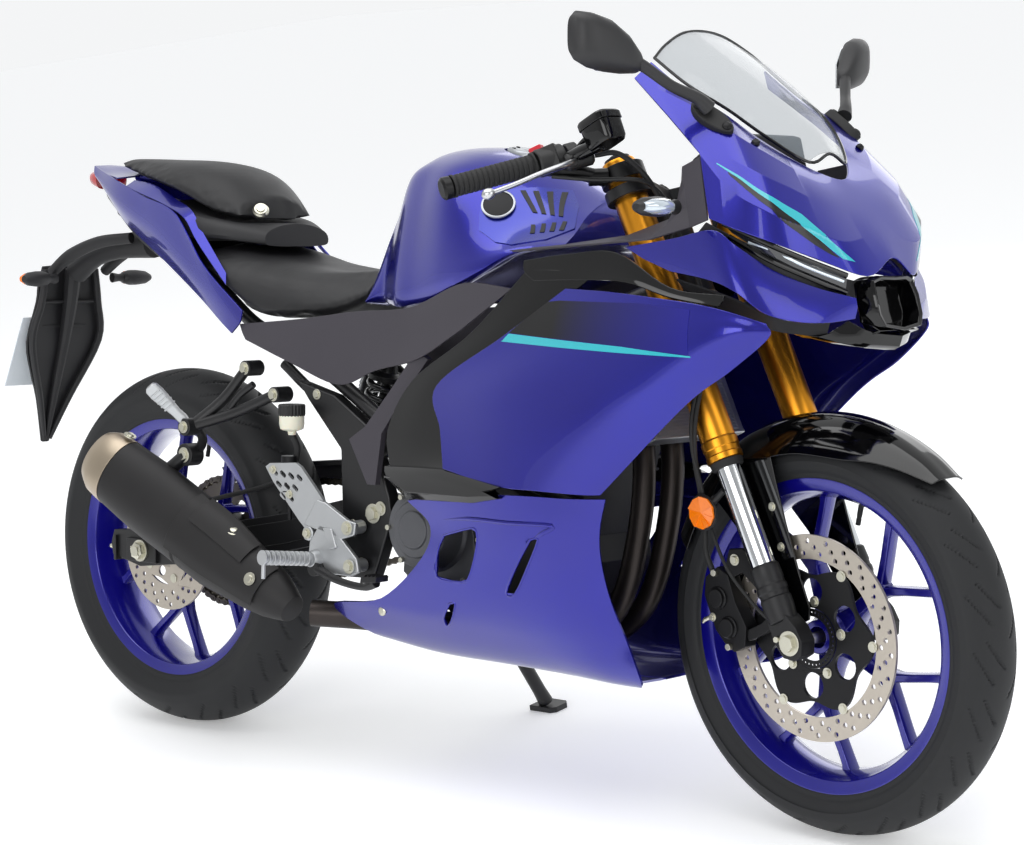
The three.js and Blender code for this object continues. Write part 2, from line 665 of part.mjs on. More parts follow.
const pillionSeat = loft([
  crossRing(-832, [[0, 998], [26, 997], [44, 992], [50, 984], [26, 982], [0, 982]]),
  crossRing(-720, [[0, 994], [50, 990], [78, 978], [88, 964], [46, 958], [0, 958]]),
  crossRing(-610, [[0, 988], [60, 982], [100, 962], [112, 938], [60, 930], [0, 930]]),
  crossRing(-530, [[0, 968], [60, 960], [100, 930], [110, 905], [60, 900], [0, 900]]),
  crossRing(-470, [[0, 925], [50, 918], [80, 900], [90, 890], [50, 886], [0, 886]]),
]);
add(bike, 'pillion_seat', pillionSeat, vinyl);

const seatBase = loft([
  crossRing(-640, [[0, 926], [60, 924], [104, 918], [100, 900], [60, 892], [0, 892]]),
  crossRing(-560, [[0, 896], [60, 894], [120, 896], [122, 858], [60, 856], [0, 856]]),
  crossRing(-500, [[0, 882], [60, 882], [112, 884], [118, 856], [60, 854], [0, 854]]),
  crossRing(-420, [[0, 882], [40, 878], [70, 866], [72, 846], [40, 842], [0, 842]]),
]);
add(bike, 'seat_base', seatBase, matteBlack);

// Tail panel from the spear-shaped tip forward and down to the rider's seat.
addPair(bike, 'tail_panel', panel([
  [[-905, 40, 988], [-800, 84, 962], [-690, 112, 930], [-585, 134, 900], [-500, 148, 814], [-394, 157, 738]],
  [[-898, 46, 972], [-795, 84, 922], [-672, 112, 872], [-560, 134, 812], [-474, 148, 764], [-402, 156, 718]],
  [[-885, 44, 956], [-780, 74, 884], [-650, 102, 820], [-530, 128, 758], [-465, 142, 720], [-428, 150, 700]],
], 4, { inside: [-600, 0, 850] }), paint);

add(bike, 'tail_light', loft([
  crossRing(-930, [[0, 978], [20, 978], [30, 970], [28, 958], [20, 954], [0, 954]]),
  crossRing(-905, [[0, 976], [24, 976], [36, 970], [34, 952], [24, 946], [0, 946]]),
]), redLens);

// Long mudguard arm behind the tail, widening to the plate carrier and ending in a point.
function rearFender() {
  const arm = tube([[-800, 0, 846], [-880, 0, 840], [-960, 0, 822], [-1010, 0, 790]], 20, 8, 10);
  const undertail = box([-790, 0, 846], [120, 70, 20]);
  const carrier = loft([
    [[-1030, -62, 806], [-1030, 62, 806], [-976, 66, 800], [-976, -66, 800]],
    [[-1040, -70, 750], [-1040, 70, 750], [-996, 66, 740], [-996, -66, 740]],
    [[-1052, -84, 668], [-1052, 84, 668], [-1014, 84, 660], [-1014, -84, 660]],
    [[-1086, -40, 560], [-1086, 40, 560], [-1060, 40, 556], [-1060, -40, 556]],
    [[-1108, -8, 478], [-1108, 8, 478], [-1092, 8, 476], [-1092, -8, 476]],
  ]);
  return join(arm, undertail, carrier);
}
add(bike, 'rear_fender', rearFender(), matteBlack);
add(bike, 'number_plate', loft([
  [[-1051, -88, 712], [-1051, 88, 712], [-1049, 88, 712], [-1049, -88, 712]],
  [[-1107, -88, 584], [-1107, 88, 584], [-1105, 88, 584], [-1105, -88, 584]],
].map((ring) => ring.map(([x, y, z]) => [x - 4, y, z]))), plateWhite);

const rearIndicator = join(
  rod([-986, 67, 784], [-982, 92, 784], 8, 10),
  loft([
    crossAt([-982, 88, 784], 10, 8), crossAt([-980, 104, 784], 18, 15), crossAt([-976, 140, 784], 15, 12),
    crossAt([-974, 150, 784], 6, 5),
  ]),
);
addPair(bike, 'rear_indicator', rearIndicator, amberLens);

// Oval ring in the XZ plane.
function crossAt([x, y, z], halfLength, halfHeight, sides = 12) {
  const ring = [];
  for (let i = 0; i < sides; i += 1) {
    const angle = (2 * Math.PI * i) / sides;
    ring.push([x + halfLength * Math.cos(angle), y, z + halfHeight * Math.sin(angle)]);
  }
  return ring;
}

// ---------------------------------------------------------------- side bodywork

// Matte cover under the seat and tank, with the strip that runs down along the frame.
const sideCover = join(
  panel([
    [[-410, 148, 716], [-255, 158, 728], [-130, 161, 742], [0, 169, 752], [130, 194, 790], [236, 200, 784]],
    [[-404, 148, 702], [-270, 157, 690], [-150, 159, 690], [-20, 169, 705], [90, 184, 740], [180, 196, 752]],
    [[-396, 148, 690], [-287, 153, 656], [-173, 156, 624], [-84, 162, 650], [22, 178, 672], [120, 190, 718]],
  ], 4),
  plate([
    [14, 684], [40, 672], [-60, 560], [-72, 470], [-92, 470], [-132, 540], [-96, 560], [-40, 620],
  ], 160, 174),
);
addPair(bike, 'side_cover', sideCover, matteGrey);

addPair(bike, 'side_fairing', panel([
  [[349, 212, 786], [438, 225, 783], [528, 235, 776], [606, 237, 768], [661, 228, 757], [702, 205, 742]],
  [[236, 222, 714], [367, 240, 712], [484, 248, 715], [590, 248, 721], [666, 235, 726], [703, 200, 722]],
  [[93, 212, 635], [256, 245, 636], [398, 255, 642], [523, 252, 654], [600, 238, 674], [646, 212, 674]],
  [[115, 228, 570], [261, 252, 578], [381, 258, 584], [467, 250, 595], [527, 235, 611], [570, 215, 623]],
  [[130, 238, 512], [244, 252, 494], [325, 254, 492], [380, 245, 490], [408, 234, 489], [424, 222, 489]],
], 4), paint);

// Belly panel. The left one is shorter at the back, where the side stand swings.
const lowerFairing = panel([
  [[42, 222, 457], [150, 240, 472], [242, 247, 480], [311, 243, 482], [375, 235, 482], [433, 222, 484]],
  [[83, 215, 420], [159, 228, 425], [236, 236, 431], [313, 235, 433], [374, 228, 438], [418, 216, 440]],
  [[54, 205, 366], [136, 215, 370], [233, 222, 374], [321, 222, 380], [378, 214, 388], [411, 205, 394]],
  [[-60, 176, 292], [80, 195, 304], [200, 205, 310], [310, 205, 314], [380, 198, 324], [415, 188, 334]],
  [[-190, 150, 268], [20, 172, 264], [160, 175, 261], [280, 176, 259], [380, 177, 262], [440, 178, 269]],
  [[-125, 124, 224], [5, 118, 209], [140, 118, 206], [261, 122, 204], [386, 152, 206], [466, 178, 213]],
  [[-60, 60, 202], [5, 50, 196], [140, 40, 192], [261, 40, 190], [360, 64, 192], [402, 104, 198]],
  [[-50, 3, 198], [5, 3, 192], [140, 3, 188], [261, 3, 186], [340, 3, 186], [370, 3, 188]],
], 4, { rowSteps: 1 });
add(bike, 'lower_fairing_left', cut(lowerFairing, box([-160, 130, 250], [240, 300, 300])), paint);
add(bike, 'lower_fairing_right', mirrored(lowerFairing), paint);

// Gloss-black scoop under the tank, its strip behind the side panel and the winglet at its foot.
const innerFairing = join(
  panel([
    [[262, 204, 826], [351, 206, 836], [440, 206, 838], [540, 212, 790], [640, 218, 780]],
    [[264, 206, 810], [360, 208, 816], [450, 210, 812], [540, 214, 782], [636, 218, 772]],
    [[284, 208, 796], [370, 210, 798], [460, 214, 796], [545, 218, 776], [630, 220, 764]],
  ], 4),
  panel([
    [[270, 206, 812], [330, 208, 812], [400, 208, 806]],
    [[150, 197, 716], [200, 202, 716], [250, 204, 710]],
    [[20, 186, 640], [60, 192, 634], [110, 196, 630]],
    [[-40, 180, 560], [20, 188, 550], [100, 196, 545]],
    [[-30, 186, 500], [50, 200, 498], [112, 214, 500]],
    [[-24, 206, 490], [60, 226, 490], [118, 238, 492]],
  ], 4, { columnSteps: 1 }),
);
addPair(bike, 'inner_fairing', innerFairing, glossBlack);

// ---------------------------------------------------------------- front bodywork

const cowlSide = [
  [[449, 140, 1112], [438, 165, 1088], [514, 183, 1031], [579, 195, 976], [614, 220, 886]],
  [[505, 135, 1072], [558, 160, 1037], [601, 182, 980], [637, 200, 924], [653, 215, 872]],
  [[566, 122, 1036], [612, 150, 1001], [657, 172, 951], [693, 185, 893], [702, 180, 850]],
  [[613, 98, 998], [651, 122, 973], [690, 140, 930], [722, 150, 875], [733, 130, 830]],
  [[660, 52, 960], [686, 70, 941], [717, 85, 906], [752, 92, 854], [770, 58, 806]],
  [[684, 0, 942], [697, 0, 928], [719, 0, 903], [750, 0, 865], [773, 0, 832]],
];
const cowlLeft = cowlSide.slice(0, -1).map((row) => row.map(([x, y, z]) => [x, -y, z])).reverse();
add(bike, 'upper_cowl', panel([...cowlSide, ...cowlLeft], 4, { rowSteps: 1, inside: [500, 0, 850] }), paint);

const screenHalf = [
  [[452, 136, 1117], [444, 100, 1138], [437, 50, 1158]],
  [[508, 131, 1077], [502, 92, 1106], [498, 46, 1120]],
  [[568, 117, 1041], [566, 80, 1064], [566, 40, 1074]],
  [[616, 92, 1003], [618, 64, 1020], [620, 32, 1028]],
  [[660, 46, 966], [662, 34, 974], [664, 18, 980]],
];
const screenMiddle = [[435, 0, 1164], [497, 0, 1124], [566, 0, 1077], [621, 0, 1030], [666, 0, 982]];
add(bike, 'windscreen', panel(screenHalf.map((row, i) => [
  ...row, screenMiddle[i], ...row.map(([x, y, z]) => [x, -y, z]).reverse(),
]), 3, { columnSteps: 1, inside: [500, 0, 850] }), clear);

addPair(bike, 'headlight_cowl', panel([
  [[451, 202, 846], [545, 214, 858], [619, 220, 870], [655, 214, 850], [692, 178, 816], [728, 128, 792],
    [762, 75, 776]],
  [[486, 206, 830], [590, 222, 830], [645, 228, 826], [680, 216, 806], [712, 180, 788], [744, 130, 768],
    [764, 74, 762]],
  [[540, 212, 812], [620, 224, 800], [668, 228, 784], [700, 206, 756], [728, 168, 744], [746, 120, 742],
    [756, 68, 746]],
], 4, { inside: [550, 0, 800] }), paint);

const headlightLeft = panel([
  [[634, 206, 874], [690, 184, 846], [722, 138, 824], [752, 84, 802]],
  [[640, 202, 866], [686, 178, 834], [720, 132, 810], [748, 80, 788]],
], 18, { inside: [600, 0, 800] });
addPair(bike, 'headlight', headlightLeft, clear);

add(bike, 'intake_duct', join(
  plate([[748, 796], [766, 808], [784, 760], [788, 728], [764, 720], [752, 742]], -52, 52),
), glossBlack);

const mirrorStalk = tube([[576, 164, 1042], [562, 186, 1056], [540, 220, 1072], [520, 250, 1098]], 10, 8, 10);
const mirrorHead = loft([
  mirrorRing(250, 512, 1104, 12, 14), mirrorRing(280, 498, 1118, 26, 34), mirrorRing(320, 486, 1128, 24, 38),
  mirrorRing(348, 478, 1134, 16, 26),
]);
function mirrorRing(y, x, z, halfDepth, halfHeight) {
  return crossAt([x, y, z], halfDepth, halfHeight, 14);
}
addPair(bike, 'mirror', join(mirrorStalk, mirrorHead), matteBlack);

const frontIndicator = join(
  rod([560, 226, 902], [566, 262, 902], 9, 10),
  loft([
    crossAt([566, 256, 902], 12, 9), crossAt([567, 272, 902], 20, 14), crossAt([566, 306, 902], 18, 12),
    crossAt([564, 318, 902], 8, 5),
  ]),
);
addPair(bike, 'front_indicator', frontIndicator, clear);

add(bike, 'instrument_panel', box([560, 0, 968], [30, 150, 80], 35 * DEG), matteBlack);

// ---------------------------------------------------------------- rider controls

function riderHanger() {
  const hanger = plate([
    [-320, 487], [-238, 493], [-156, 406], [-112, 404], [-102, 345], [-121, 322], [-182, 322],
    [-216, 348], [-235, 396],
  ], 172, 182);
  return join(
    hanger,
    rod([-194, 176, 342], [-204, 296, 355], 12, 12),
    rod([-125, 150.5, 399], [-125, 176, 399], 9, 10),
    rod([-121, 150.5, 338], [-121, 176, 338], 9, 10),
  );
}
const hangerLeft = riderHanger();
const shiftLever = join(
  tube([[-190, 186, 330], [-120, 196, 318], [-50, 200, 322], [-20, 200, 330]], 6, 10, 8),
  rod([-22, 198, 330], [-22, 240, 330], 9, 10),
  rod([-190, 178, 330], [-190, 196, 330], 10, 10),
);
add(bike, 'rider_footrest_left', join(hangerLeft, shiftLever), aluminium);
const brakePedal = join(
  tube([[-190, 186, 330], [-130, 198, 316], [-70, 204, 312], [-36, 206, 322]], 6, 10, 8),
  box([-36, 214, 328], [34, 30, 10]),
  rod([-190, 178, 330], [-190, 196, 330], 10, 10),
);
add(bike, 'rider_footrest_right', mirrored(join(hangerLeft, brakePedal)), aluminium);

const pillionHanger = join(
  tube([[-390, 150, 643], [-430, 168, 590], [-474, 200, 545]], 9, 8, 10),
  tube([[-322, 152, 602], [-400, 168, 570], [-474, 200, 545]], 9, 8, 10),
  rod([-390, 120, 643], [-390, 154, 643], 11, 10),
  rod([-322, 120, 602], [-322, 154, 602], 11, 10),
  rod([-474, 186, 545], [-474, 216, 545], 15, 14),
  rod([-474, 200, 545], [-508, 250, 606], 10, 10),
);
addPair(bike, 'pillion_footrest', pillionHanger, matteBlack);

// ---------------------------------------------------------------- side stand

const STAND_PIVOT = [-140, 136, 284];
const STAND_FOOT = [-104, 288, Math.tan(LEAN) * 288 + GROUND_SINK];
const STAND_SHOE = STAND_PIVOT.map((value, axis) => value + 0.95 * (STAND_FOOT[axis] - value));
const stand = new THREE.Group(); // folds back and up about a slanted pivot
bike.add(stand);
add(stand, 'side_stand', join(
  rod(STAND_PIVOT, STAND_SHOE, 12, 12),
  rod([STAND_PIVOT[0], STAND_PIVOT[1] - 12, STAND_PIVOT[2]], [STAND_PIVOT[0], STAND_PIVOT[1] + 12, STAND_PIVOT[2]],
    20, 14),
  box([0, 0, 6], [56, 46, 12]).rotateX(LEAN).translate(STAND_FOOT[0], STAND_FOOT[1], STAND_FOOT[2]),
), matteBlack);

// ---------------------------------------------------------------- lean onto the stand

const leaned = new THREE.Group();
leaned.rotation.set(-LEAN, PITCH, 0);
leaned.add(bike);

const motorcycle = new THREE.Group();
motorcycle.add(leaned);
motorcycle.updateMatrixWorld(true);
const bounds = new THREE.Box3().setFromObject(motorcycle, true);
const middle = bounds.getCenter(new THREE.Vector3());
leaned.position.set(-middle.x, -middle.y, -bounds.min.z);

export default motorcycle;
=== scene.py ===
import json
import math

import bpy
import bmesh
import numpy as np
from mathutils import Matrix, Vector
from mathutils.bvhtree import BVHTree


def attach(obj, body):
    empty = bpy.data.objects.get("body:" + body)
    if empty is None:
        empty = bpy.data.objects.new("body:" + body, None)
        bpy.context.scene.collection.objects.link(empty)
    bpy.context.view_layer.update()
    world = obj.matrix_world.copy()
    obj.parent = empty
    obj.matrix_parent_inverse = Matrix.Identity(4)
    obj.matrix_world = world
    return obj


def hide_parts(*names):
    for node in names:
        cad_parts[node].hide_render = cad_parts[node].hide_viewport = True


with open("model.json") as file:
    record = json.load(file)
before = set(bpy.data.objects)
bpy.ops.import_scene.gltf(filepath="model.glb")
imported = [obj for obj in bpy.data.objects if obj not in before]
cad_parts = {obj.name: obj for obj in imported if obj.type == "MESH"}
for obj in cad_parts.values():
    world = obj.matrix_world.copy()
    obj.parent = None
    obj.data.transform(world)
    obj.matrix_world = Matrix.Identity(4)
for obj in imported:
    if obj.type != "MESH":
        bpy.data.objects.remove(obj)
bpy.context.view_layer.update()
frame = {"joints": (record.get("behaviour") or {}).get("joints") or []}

# ---------------------------------------------------------------- how the motorcycle stands
# Every piece is drawn in millimetres in the upright motorcycle's own frame: X forward, Y to the
# rider's left, origin on the ground midway between the axles. It leans 10 degrees onto its stand.
LEAN = math.radians(10)
PITCH = math.radians(-0.036)
RAKE = math.radians(25)
STEER = math.radians(-5.3)
REAR_AXLE = Vector((-690, 0, 314))
STEER_FOOT = Vector((785, 0, 0))
MM = 0.001

joints = {joint["name"]: joint for joint in frame["joints"]}
lean = Matrix.Rotation(-LEAN, 4, "X") @ Matrix.Rotation(PITCH, 4, "Y")
stand_place = Vector(joints["rear_wheel"]["pos_m"]) - lean @ (REAR_AXLE * MM)
BIKE = Matrix.Translation(stand_place) @ lean
AXLE_AHEAD = 293 * math.sin(RAKE) - 95 * math.cos(RAKE)
AXLE_UP = 293 * math.cos(RAKE) + 95 * math.sin(RAKE)
FORK = (
    BIKE
    @ Matrix.Translation(STEER_FOOT * MM)
    @ Matrix.Rotation(-RAKE, 4, "Y")
    @ Matrix.Rotation(STEER, 4, "Z")
)
FRONT_WHEEL = FORK @ Matrix.Translation(Vector((AXLE_AHEAD, 0, AXLE_UP)) * MM) @ Matrix.Rotation(RAKE, 4, "Y")
REAR_WHEEL = BIKE @ Matrix.Translation(REAR_AXLE * MM)

# ---------------------------------------------------------------- camera
# A long lens from the front right, a little above the level of the tank.
CAMERA_PLACE = Vector((2828, -3165, 863))
CAMERA_YAW = math.radians(131.16)
CAMERA_PITCH = math.radians(-4.04)
ahead = Vector((
    math.cos(CAMERA_PITCH) * math.cos(CAMERA_YAW),
    math.cos(CAMERA_PITCH) * math.sin(CAMERA_YAW),
    math.sin(CAMERA_PITCH),
))
across = Vector((math.sin(CAMERA_YAW), -math.cos(CAMERA_YAW), 0))
upward = across.cross(ahead)
camera_turn = Matrix((across, upward, -ahead)).transposed().to_4x4()
camera = bpy.data.objects.new("camera", bpy.data.cameras.new("camera"))
camera.data.lens = 93.3
camera.data.sensor_width = 36
camera.data.clip_end = 60
camera.matrix_world = BIKE @ Matrix.Translation(CAMERA_PLACE * MM) @ camera_turn
bpy.context.scene.collection.objects.link(camera)
bpy.context.scene.camera = camera
bpy.context.scene.view_settings.view_transform = "Standard"

# ---------------------------------------------------------------- studio
# Seamless pale paper under soft boxes: a wide one above, one on each side and one in front. The room
# is white behind on the left and greyer towards the right and front, so that gloss stays deep there.
def linear(code):
    """Linear colour of an sRGB hex code."""
    values = [int(code[i:i + 2], 16) / 255 for i in (0, 2, 4)]
    return [v / 12.92 if v <= 0.04045 else ((v + 0.055) / 1.055) ** 2.4 for v in values] + [1]


def node(tree, kind, links=None, **settings):
    """Adds a shader node. Settings are properties or input values, links are input: output."""
    made = tree.nodes.new(kind)
    for key, value in settings.items():
        if hasattr(made, key):
            setattr(made, key, value)
        else:
            made.inputs[key.replace("_", " ")].default_value = value
    for key, source in (links or {}).items():
        tree.links.new(source, made.inputs[key])
    return made


def new_material(name):
    made = bpy.data.materials.new(name)
    made.use_nodes = True
    made.node_tree.nodes.clear()
    return made


def finish(name, color, roughness, metallic=0.0, grain=0.6, depth=0.0, mottle=0.06, uneven=0.12, **shader):
    """A surface whose colour and gloss vary a little, with a fine relief. Grain and depth are in mm."""
    made = new_material(name)
    tree = made.node_tree
    place = node(tree, "ShaderNodeTexCoord")
    broad = node(tree, "ShaderNodeTexNoise", {"Vector": place.outputs["Object"]}, Scale=18.0, Detail=4.0)
    base = linear(color)
    shade = node(tree, "ShaderNodeMapRange", {"Value": broad.outputs["Fac"]},
                 To_Min=1 - mottle, To_Max=1 + mottle)
    tint = node(tree, "ShaderNodeVectorMath", {"Scale": shade.outputs["Result"]}, operation="SCALE")
    tint.inputs[0].default_value = base[:3]
    gloss = node(tree, "ShaderNodeMapRange", {"Value": broad.outputs["Fac"]},
                 To_Min=max(roughness * (1 - uneven), 0.01), To_Max=min(roughness * (1 + uneven), 1))
    bsdf = node(tree, "ShaderNodeBsdfPrincipled",
                {"Base Color": tint.outputs["Vector"], "Roughness": gloss.outputs["Result"]},
                Metallic=metallic, **shader)
    if depth:
        fine = node(tree, "ShaderNodeTexNoise", {"Vector": place.outputs["Object"]},
                    Scale=1000 / grain, Detail=3.0)
        relief = node(tree, "ShaderNodeBump", {"Height": fine.outputs["Fac"]}, Distance=depth * MM,
                      Strength=1.0)
        tree.links.new(relief.outputs["Normal"], bsdf.inputs["Normal"])
    node(tree, "ShaderNodeOutputMaterial", {"Surface": bsdf.outputs["BSDF"]})
    return made


paper = finish("pale_studio_paper", "f4f5f6", 0.9, grain=2, depth=0.02, mottle=0.01,
               Emission_Color=linear("ffffff"), Emission_Strength=0.26)
floor_mesh = bpy.data.meshes.new("floor")
floor_mesh.from_pydata([(-20, -20, 0), (20, -20, 0), (20, 20, 0), (-20, 20, 0)], [], [(0, 1, 2, 3)])
floor = bpy.data.objects.new("floor", floor_mesh)
floor.data.materials.append(paper)
bpy.context.scene.collection.objects.link(floor)


def soft_box(name, place, target, size, power):
    lamp = bpy.data.lights.new(name, "AREA")
    lamp.shape = "RECTANGLE"
    lamp.size, lamp.size_y = size
    lamp.energy = power
    holder = bpy.data.objects.new(name, lamp)
    holder.location = place
    holder.rotation_euler = (Vector(target) - Vector(place)).to_track_quat("-Z", "Y").to_euler()
    bpy.context.scene.collection.objects.link(holder)


soft_box("overhead_box", (0.2, -0.6, 3.6), (0, 0, 0.4), (4.5, 2.6), 84)
soft_box("right_box", (1.6, -4.2, 2.0), (0.1, 0, 0.5), (3.0, 2.0), 62)
soft_box("front_box", (4.4, -0.4, 1.8), (0.4, 0, 0.6), (2.0, 2.4), 30)
soft_box("left_box", (-1.0, 4.0, 2.2), (0, 0, 0.6), (3.0, 2.0), 26)
BRIGHT_SIDE = (-0.6, 0.8, 0)
world = bpy.data.worlds.new("studio_room")
world.use_nodes = True
room = world.node_tree
direction = node(room, "ShaderNodeTexCoord")
sides = node(room, "ShaderNodeVectorMath", {"Vector": direction.outputs["Generated"]},
             operation="DOT_PRODUCT")
sides.inputs[1].default_value = BRIGHT_SIDE
shade_of_room = node(room, "ShaderNodeMapRange", {"Value": sides.outputs["Value"]}, From_Min=-0.5,
                     From_Max=0.4,
                     To_Min=0.5, To_Max=0.94)
room.links.new(shade_of_room.outputs["Result"], room.nodes["Background"].inputs["Strength"])
room.nodes["Background"].inputs["Color"].default_value = linear("fbfcfd")
bpy.context.scene.world = world

# ---------------------------------------------------------------- tyres
# Radial tyres for 17 inch rims, black rubber with carbon filler. Curved water channels are moulded
# across the tread.
def smooth(points, steps):
    """Catmull-Rom curve through the points, steps per gap."""
    p = np.array(points, float)
    p = np.vstack([2 * p[0] - p[1], p, 2 * p[-1] - p[-2]])
    out = []
    for i in range(1, len(p) - 2):
        for t in np.arange(steps) / steps:
            a, b, c, d = p[i - 1], p[i], p[i + 1], p[i + 2]
            out.append(0.5 * (2 * b + (c - a) * t + (2 * a - 5 * b + 4 * c - d) * t ** 2
                              + (3 * b - a - 3 * c + d) * t ** 3))
    out.append(p[-2])
    return np.array(out)


def strip_faces(rows, columns, wrap_rows=False, wrap_columns=False, start=0):
    """Quads over a grid of points, one row after another."""
    faces = []
    for j in range(rows if wrap_rows else rows - 1):
        for i in range(columns if wrap_columns else columns - 1):
            a = start + j * columns + i
            b = start + j * columns + (i + 1) % columns
            c = start + ((j + 1) % rows) * columns + (i + 1) % columns
            d = start + ((j + 1) % rows) * columns + i
            faces.append((a, b, c, d))
    return faces


def merge(*shapes):
    points, faces = [], []
    for shape_points, shape_faces in shapes:
        start = len(points)
        points.extend([tuple(p) for p in shape_points])
        faces.extend([tuple(start + i for i in face) for face in shape_faces])
    return points, faces


def flip(shape):
    """The same shape on the other side of the motorcycle."""
    return [(x, -y, z) for x, y, z in shape[0]], [tuple(reversed(face)) for face in shape[1]]


def as_drawn(shape):
    """The shape on the side it was drawn for."""
    return shape


DRAWN_LEFT = (("left", as_drawn), ("right", flip))
DRAWN_RIGHT = (("right", as_drawn), ("left", flip))


def moved(shape, matrix):
    return [tuple(matrix @ Vector(p)) for p in shape[0]], shape[1]


def make(name, shape, material, body, space=BIKE, stands_for=(), bevel=0.0, subdivide=0,
         smooth_angle=32, segments=2, turn_out=True):
    """One visible piece from a shape in mm, riding on a CAD body."""
    mesh = bpy.data.meshes.new(name)
    mesh.from_pydata([(x * MM, y * MM, z * MM) for x, y, z in shape[0]], [], shape[1])
    mesh.validate()
    if turn_out:
        work = bmesh.new()
        work.from_mesh(mesh)
        bmesh.ops.remove_doubles(work, verts=work.verts, dist=1e-6)
        bmesh.ops.recalc_face_normals(work, faces=work.faces)
        work.to_mesh(mesh)
        work.free()
    mesh.shade_smooth()
    if not subdivide:
        mesh.set_sharp_from_angle(angle=math.radians(smooth_angle))
    piece = bpy.data.objects.new(name, mesh)
    bpy.context.scene.collection.objects.link(piece)
    piece.matrix_world = space
    mesh.materials.append(material)
    if bevel:
        edge = piece.modifiers.new("rounded_edges", "BEVEL")
        edge.width = bevel * MM
        edge.segments = segments
        edge.limit_method = "ANGLE"
        edge.angle_limit = math.radians(smooth_angle)
        edge.harden_normals = True
    if subdivide:
        rounding = piece.modifiers.new("subdivision", "SUBSURF")
        rounding.levels = subdivide
        rounding.render_levels = subdivide
    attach(piece, body)
    if stands_for:
        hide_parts(*stands_for)
    return piece


rubber = finish("tyre_rubber_moulded", "1b1c1e", 0.62, grain=0.8, depth=0.03, mottle=0.18, uneven=0.15,
                Specular_IOR_Level=0.35)


def tyre_shape(radius, width, crown_radius, channels, turns=1):
    """Tyre ring with moulded channels, as a fine grid round the wheel."""
    half = width / 2
    reach = math.asin((half - 3) / crown_radius)
    angles = np.linspace(-reach, reach, 41)
    crown = np.stack([radius - crown_radius * (1 - np.cos(angles)), crown_radius * np.sin(angles)], 1)
    side = smooth([
        crown[-1], (crown[-1][0] - 12, half), (RIM + 24, half - 1.5), (RIM + 9, half - 6),
        (RIM + 4, half - 9), (RIM - 3, half - 11), (RIM - 9, half - 20),
    ], 3)[1:]
    inner = [(RIM - 9, y) for y in np.linspace(half - 24, -half + 24, 3)]
    profile = np.vstack([crown, side, inner, side[::-1] * [1, -1]])
    steps = 960
    theta = np.arange(steps) / steps * 2 * math.pi
    radial = np.repeat(profile[None, :, 0], steps, 0)
    lateral = np.repeat(profile[None, :, 1], steps, 0)
    across_tread = np.linspace(-1, 1, 41)
    pitch = 2 * math.pi / channels
    for hand in (-1, 1):
        w = hand * across_tread
        for shift, near, far, bend in ((0.0, 0.05, 0.62, 0.34), (0.5, 0.34, 0.93, 0.30)):
            middle = shift * pitch + hand * pitch * 0.25 + turns * bend * np.clip(w, 0, 1) ** 1.4
            gap = (theta[:, None] - middle[None, :]) % pitch
            gap = np.minimum(gap, pitch - gap) * radius
            taper = np.clip((w - near) / 0.10, 0, 1) * np.clip((far - w) / 0.10, 0, 1)
            groove = np.clip((2.6 * taper[None, :] - gap) / 1.3, 0, 1)
            radial[:, :41] -= 3.6 * groove * (taper[None, :] > 0)
    points = np.stack([radial * np.cos(theta)[:, None], lateral, radial * np.sin(theta)[:, None]], -1)
    count = profile.shape[0]
    return points.reshape(-1, 3).tolist(), strip_faces(steps, count, True, True)


RIM = 231
make("front_tyre_tread", tyre_shape(293, 110, 62, 22), rubber, "front_wheel_assembly",
     FRONT_WHEEL, ["front_tyre"], smooth_angle=50)
make("rear_tyre_tread", tyre_shape(314, 140, 78, 20), rubber, "rear_wheel_assembly",
     REAR_WHEEL, ["rear_tyre"], smooth_angle=50)

# ---------------------------------------------------------------- wheels
# One-piece aluminium castings in blue powder coat: a dropped-centre rim, a hub, and five spokes that
# split in two on their way out. A rubber valve stands on the rim, and balance weights are left off.
def lathe(profile, steps=96):
    """Ring turned about the Y axis from a closed profile of (radius, y)."""
    theta = np.arange(steps) / steps * 2 * math.pi
    points = [(r * math.cos(t), y, r * math.sin(t)) for t in theta for r, y in profile]
    return points, strip_faces(steps, len(profile), True, True)


def loft(rings):
    """Closed body through rings of equal point counts."""
    count = len(rings[0])
    points = [tuple(p) for ring in rings for p in ring]
    faces = strip_faces(len(rings), count, False, True)
    faces.append(tuple(reversed(range(count))))
    faces.append(tuple(range(len(points) - count, len(points))))
    return points, faces


def sweep(path, radius, sides=16, steps=1):
    """Round tube along a curve. The radius is one number, or one for each given point."""
    track = smooth(path, steps) if len(path) > 2 else np.array(path, float)
    if np.isscalar(radius):
        sizes = np.full(len(track), float(radius))
    else:
        sizes = np.interp(np.linspace(0, 1, len(track)), np.linspace(0, 1, len(radius)), radius)
    ahead_of = np.gradient(track, axis=0)
    ahead_of /= np.linalg.norm(ahead_of, axis=1)[:, None]
    side = Vector(ahead_of[0]).orthogonal().normalized()
    rings = []
    for place, direction, size in zip(track, ahead_of, sizes):
        forward = Vector(direction)
        side = (side - forward * side.dot(forward)).normalized()
        other = forward.cross(side)
        rings.append([
            Vector(place) + float(size) * (math.cos(a) * side + math.sin(a) * other)
            for a in np.arange(sides) / sides * 2 * math.pi
        ])
    return loft(rings)


def spin(shape, angle):
    """The shape turned about the Y axis, so that X goes towards Z."""
    return moved(shape, Matrix.Rotation(-angle, 4, "Y"))


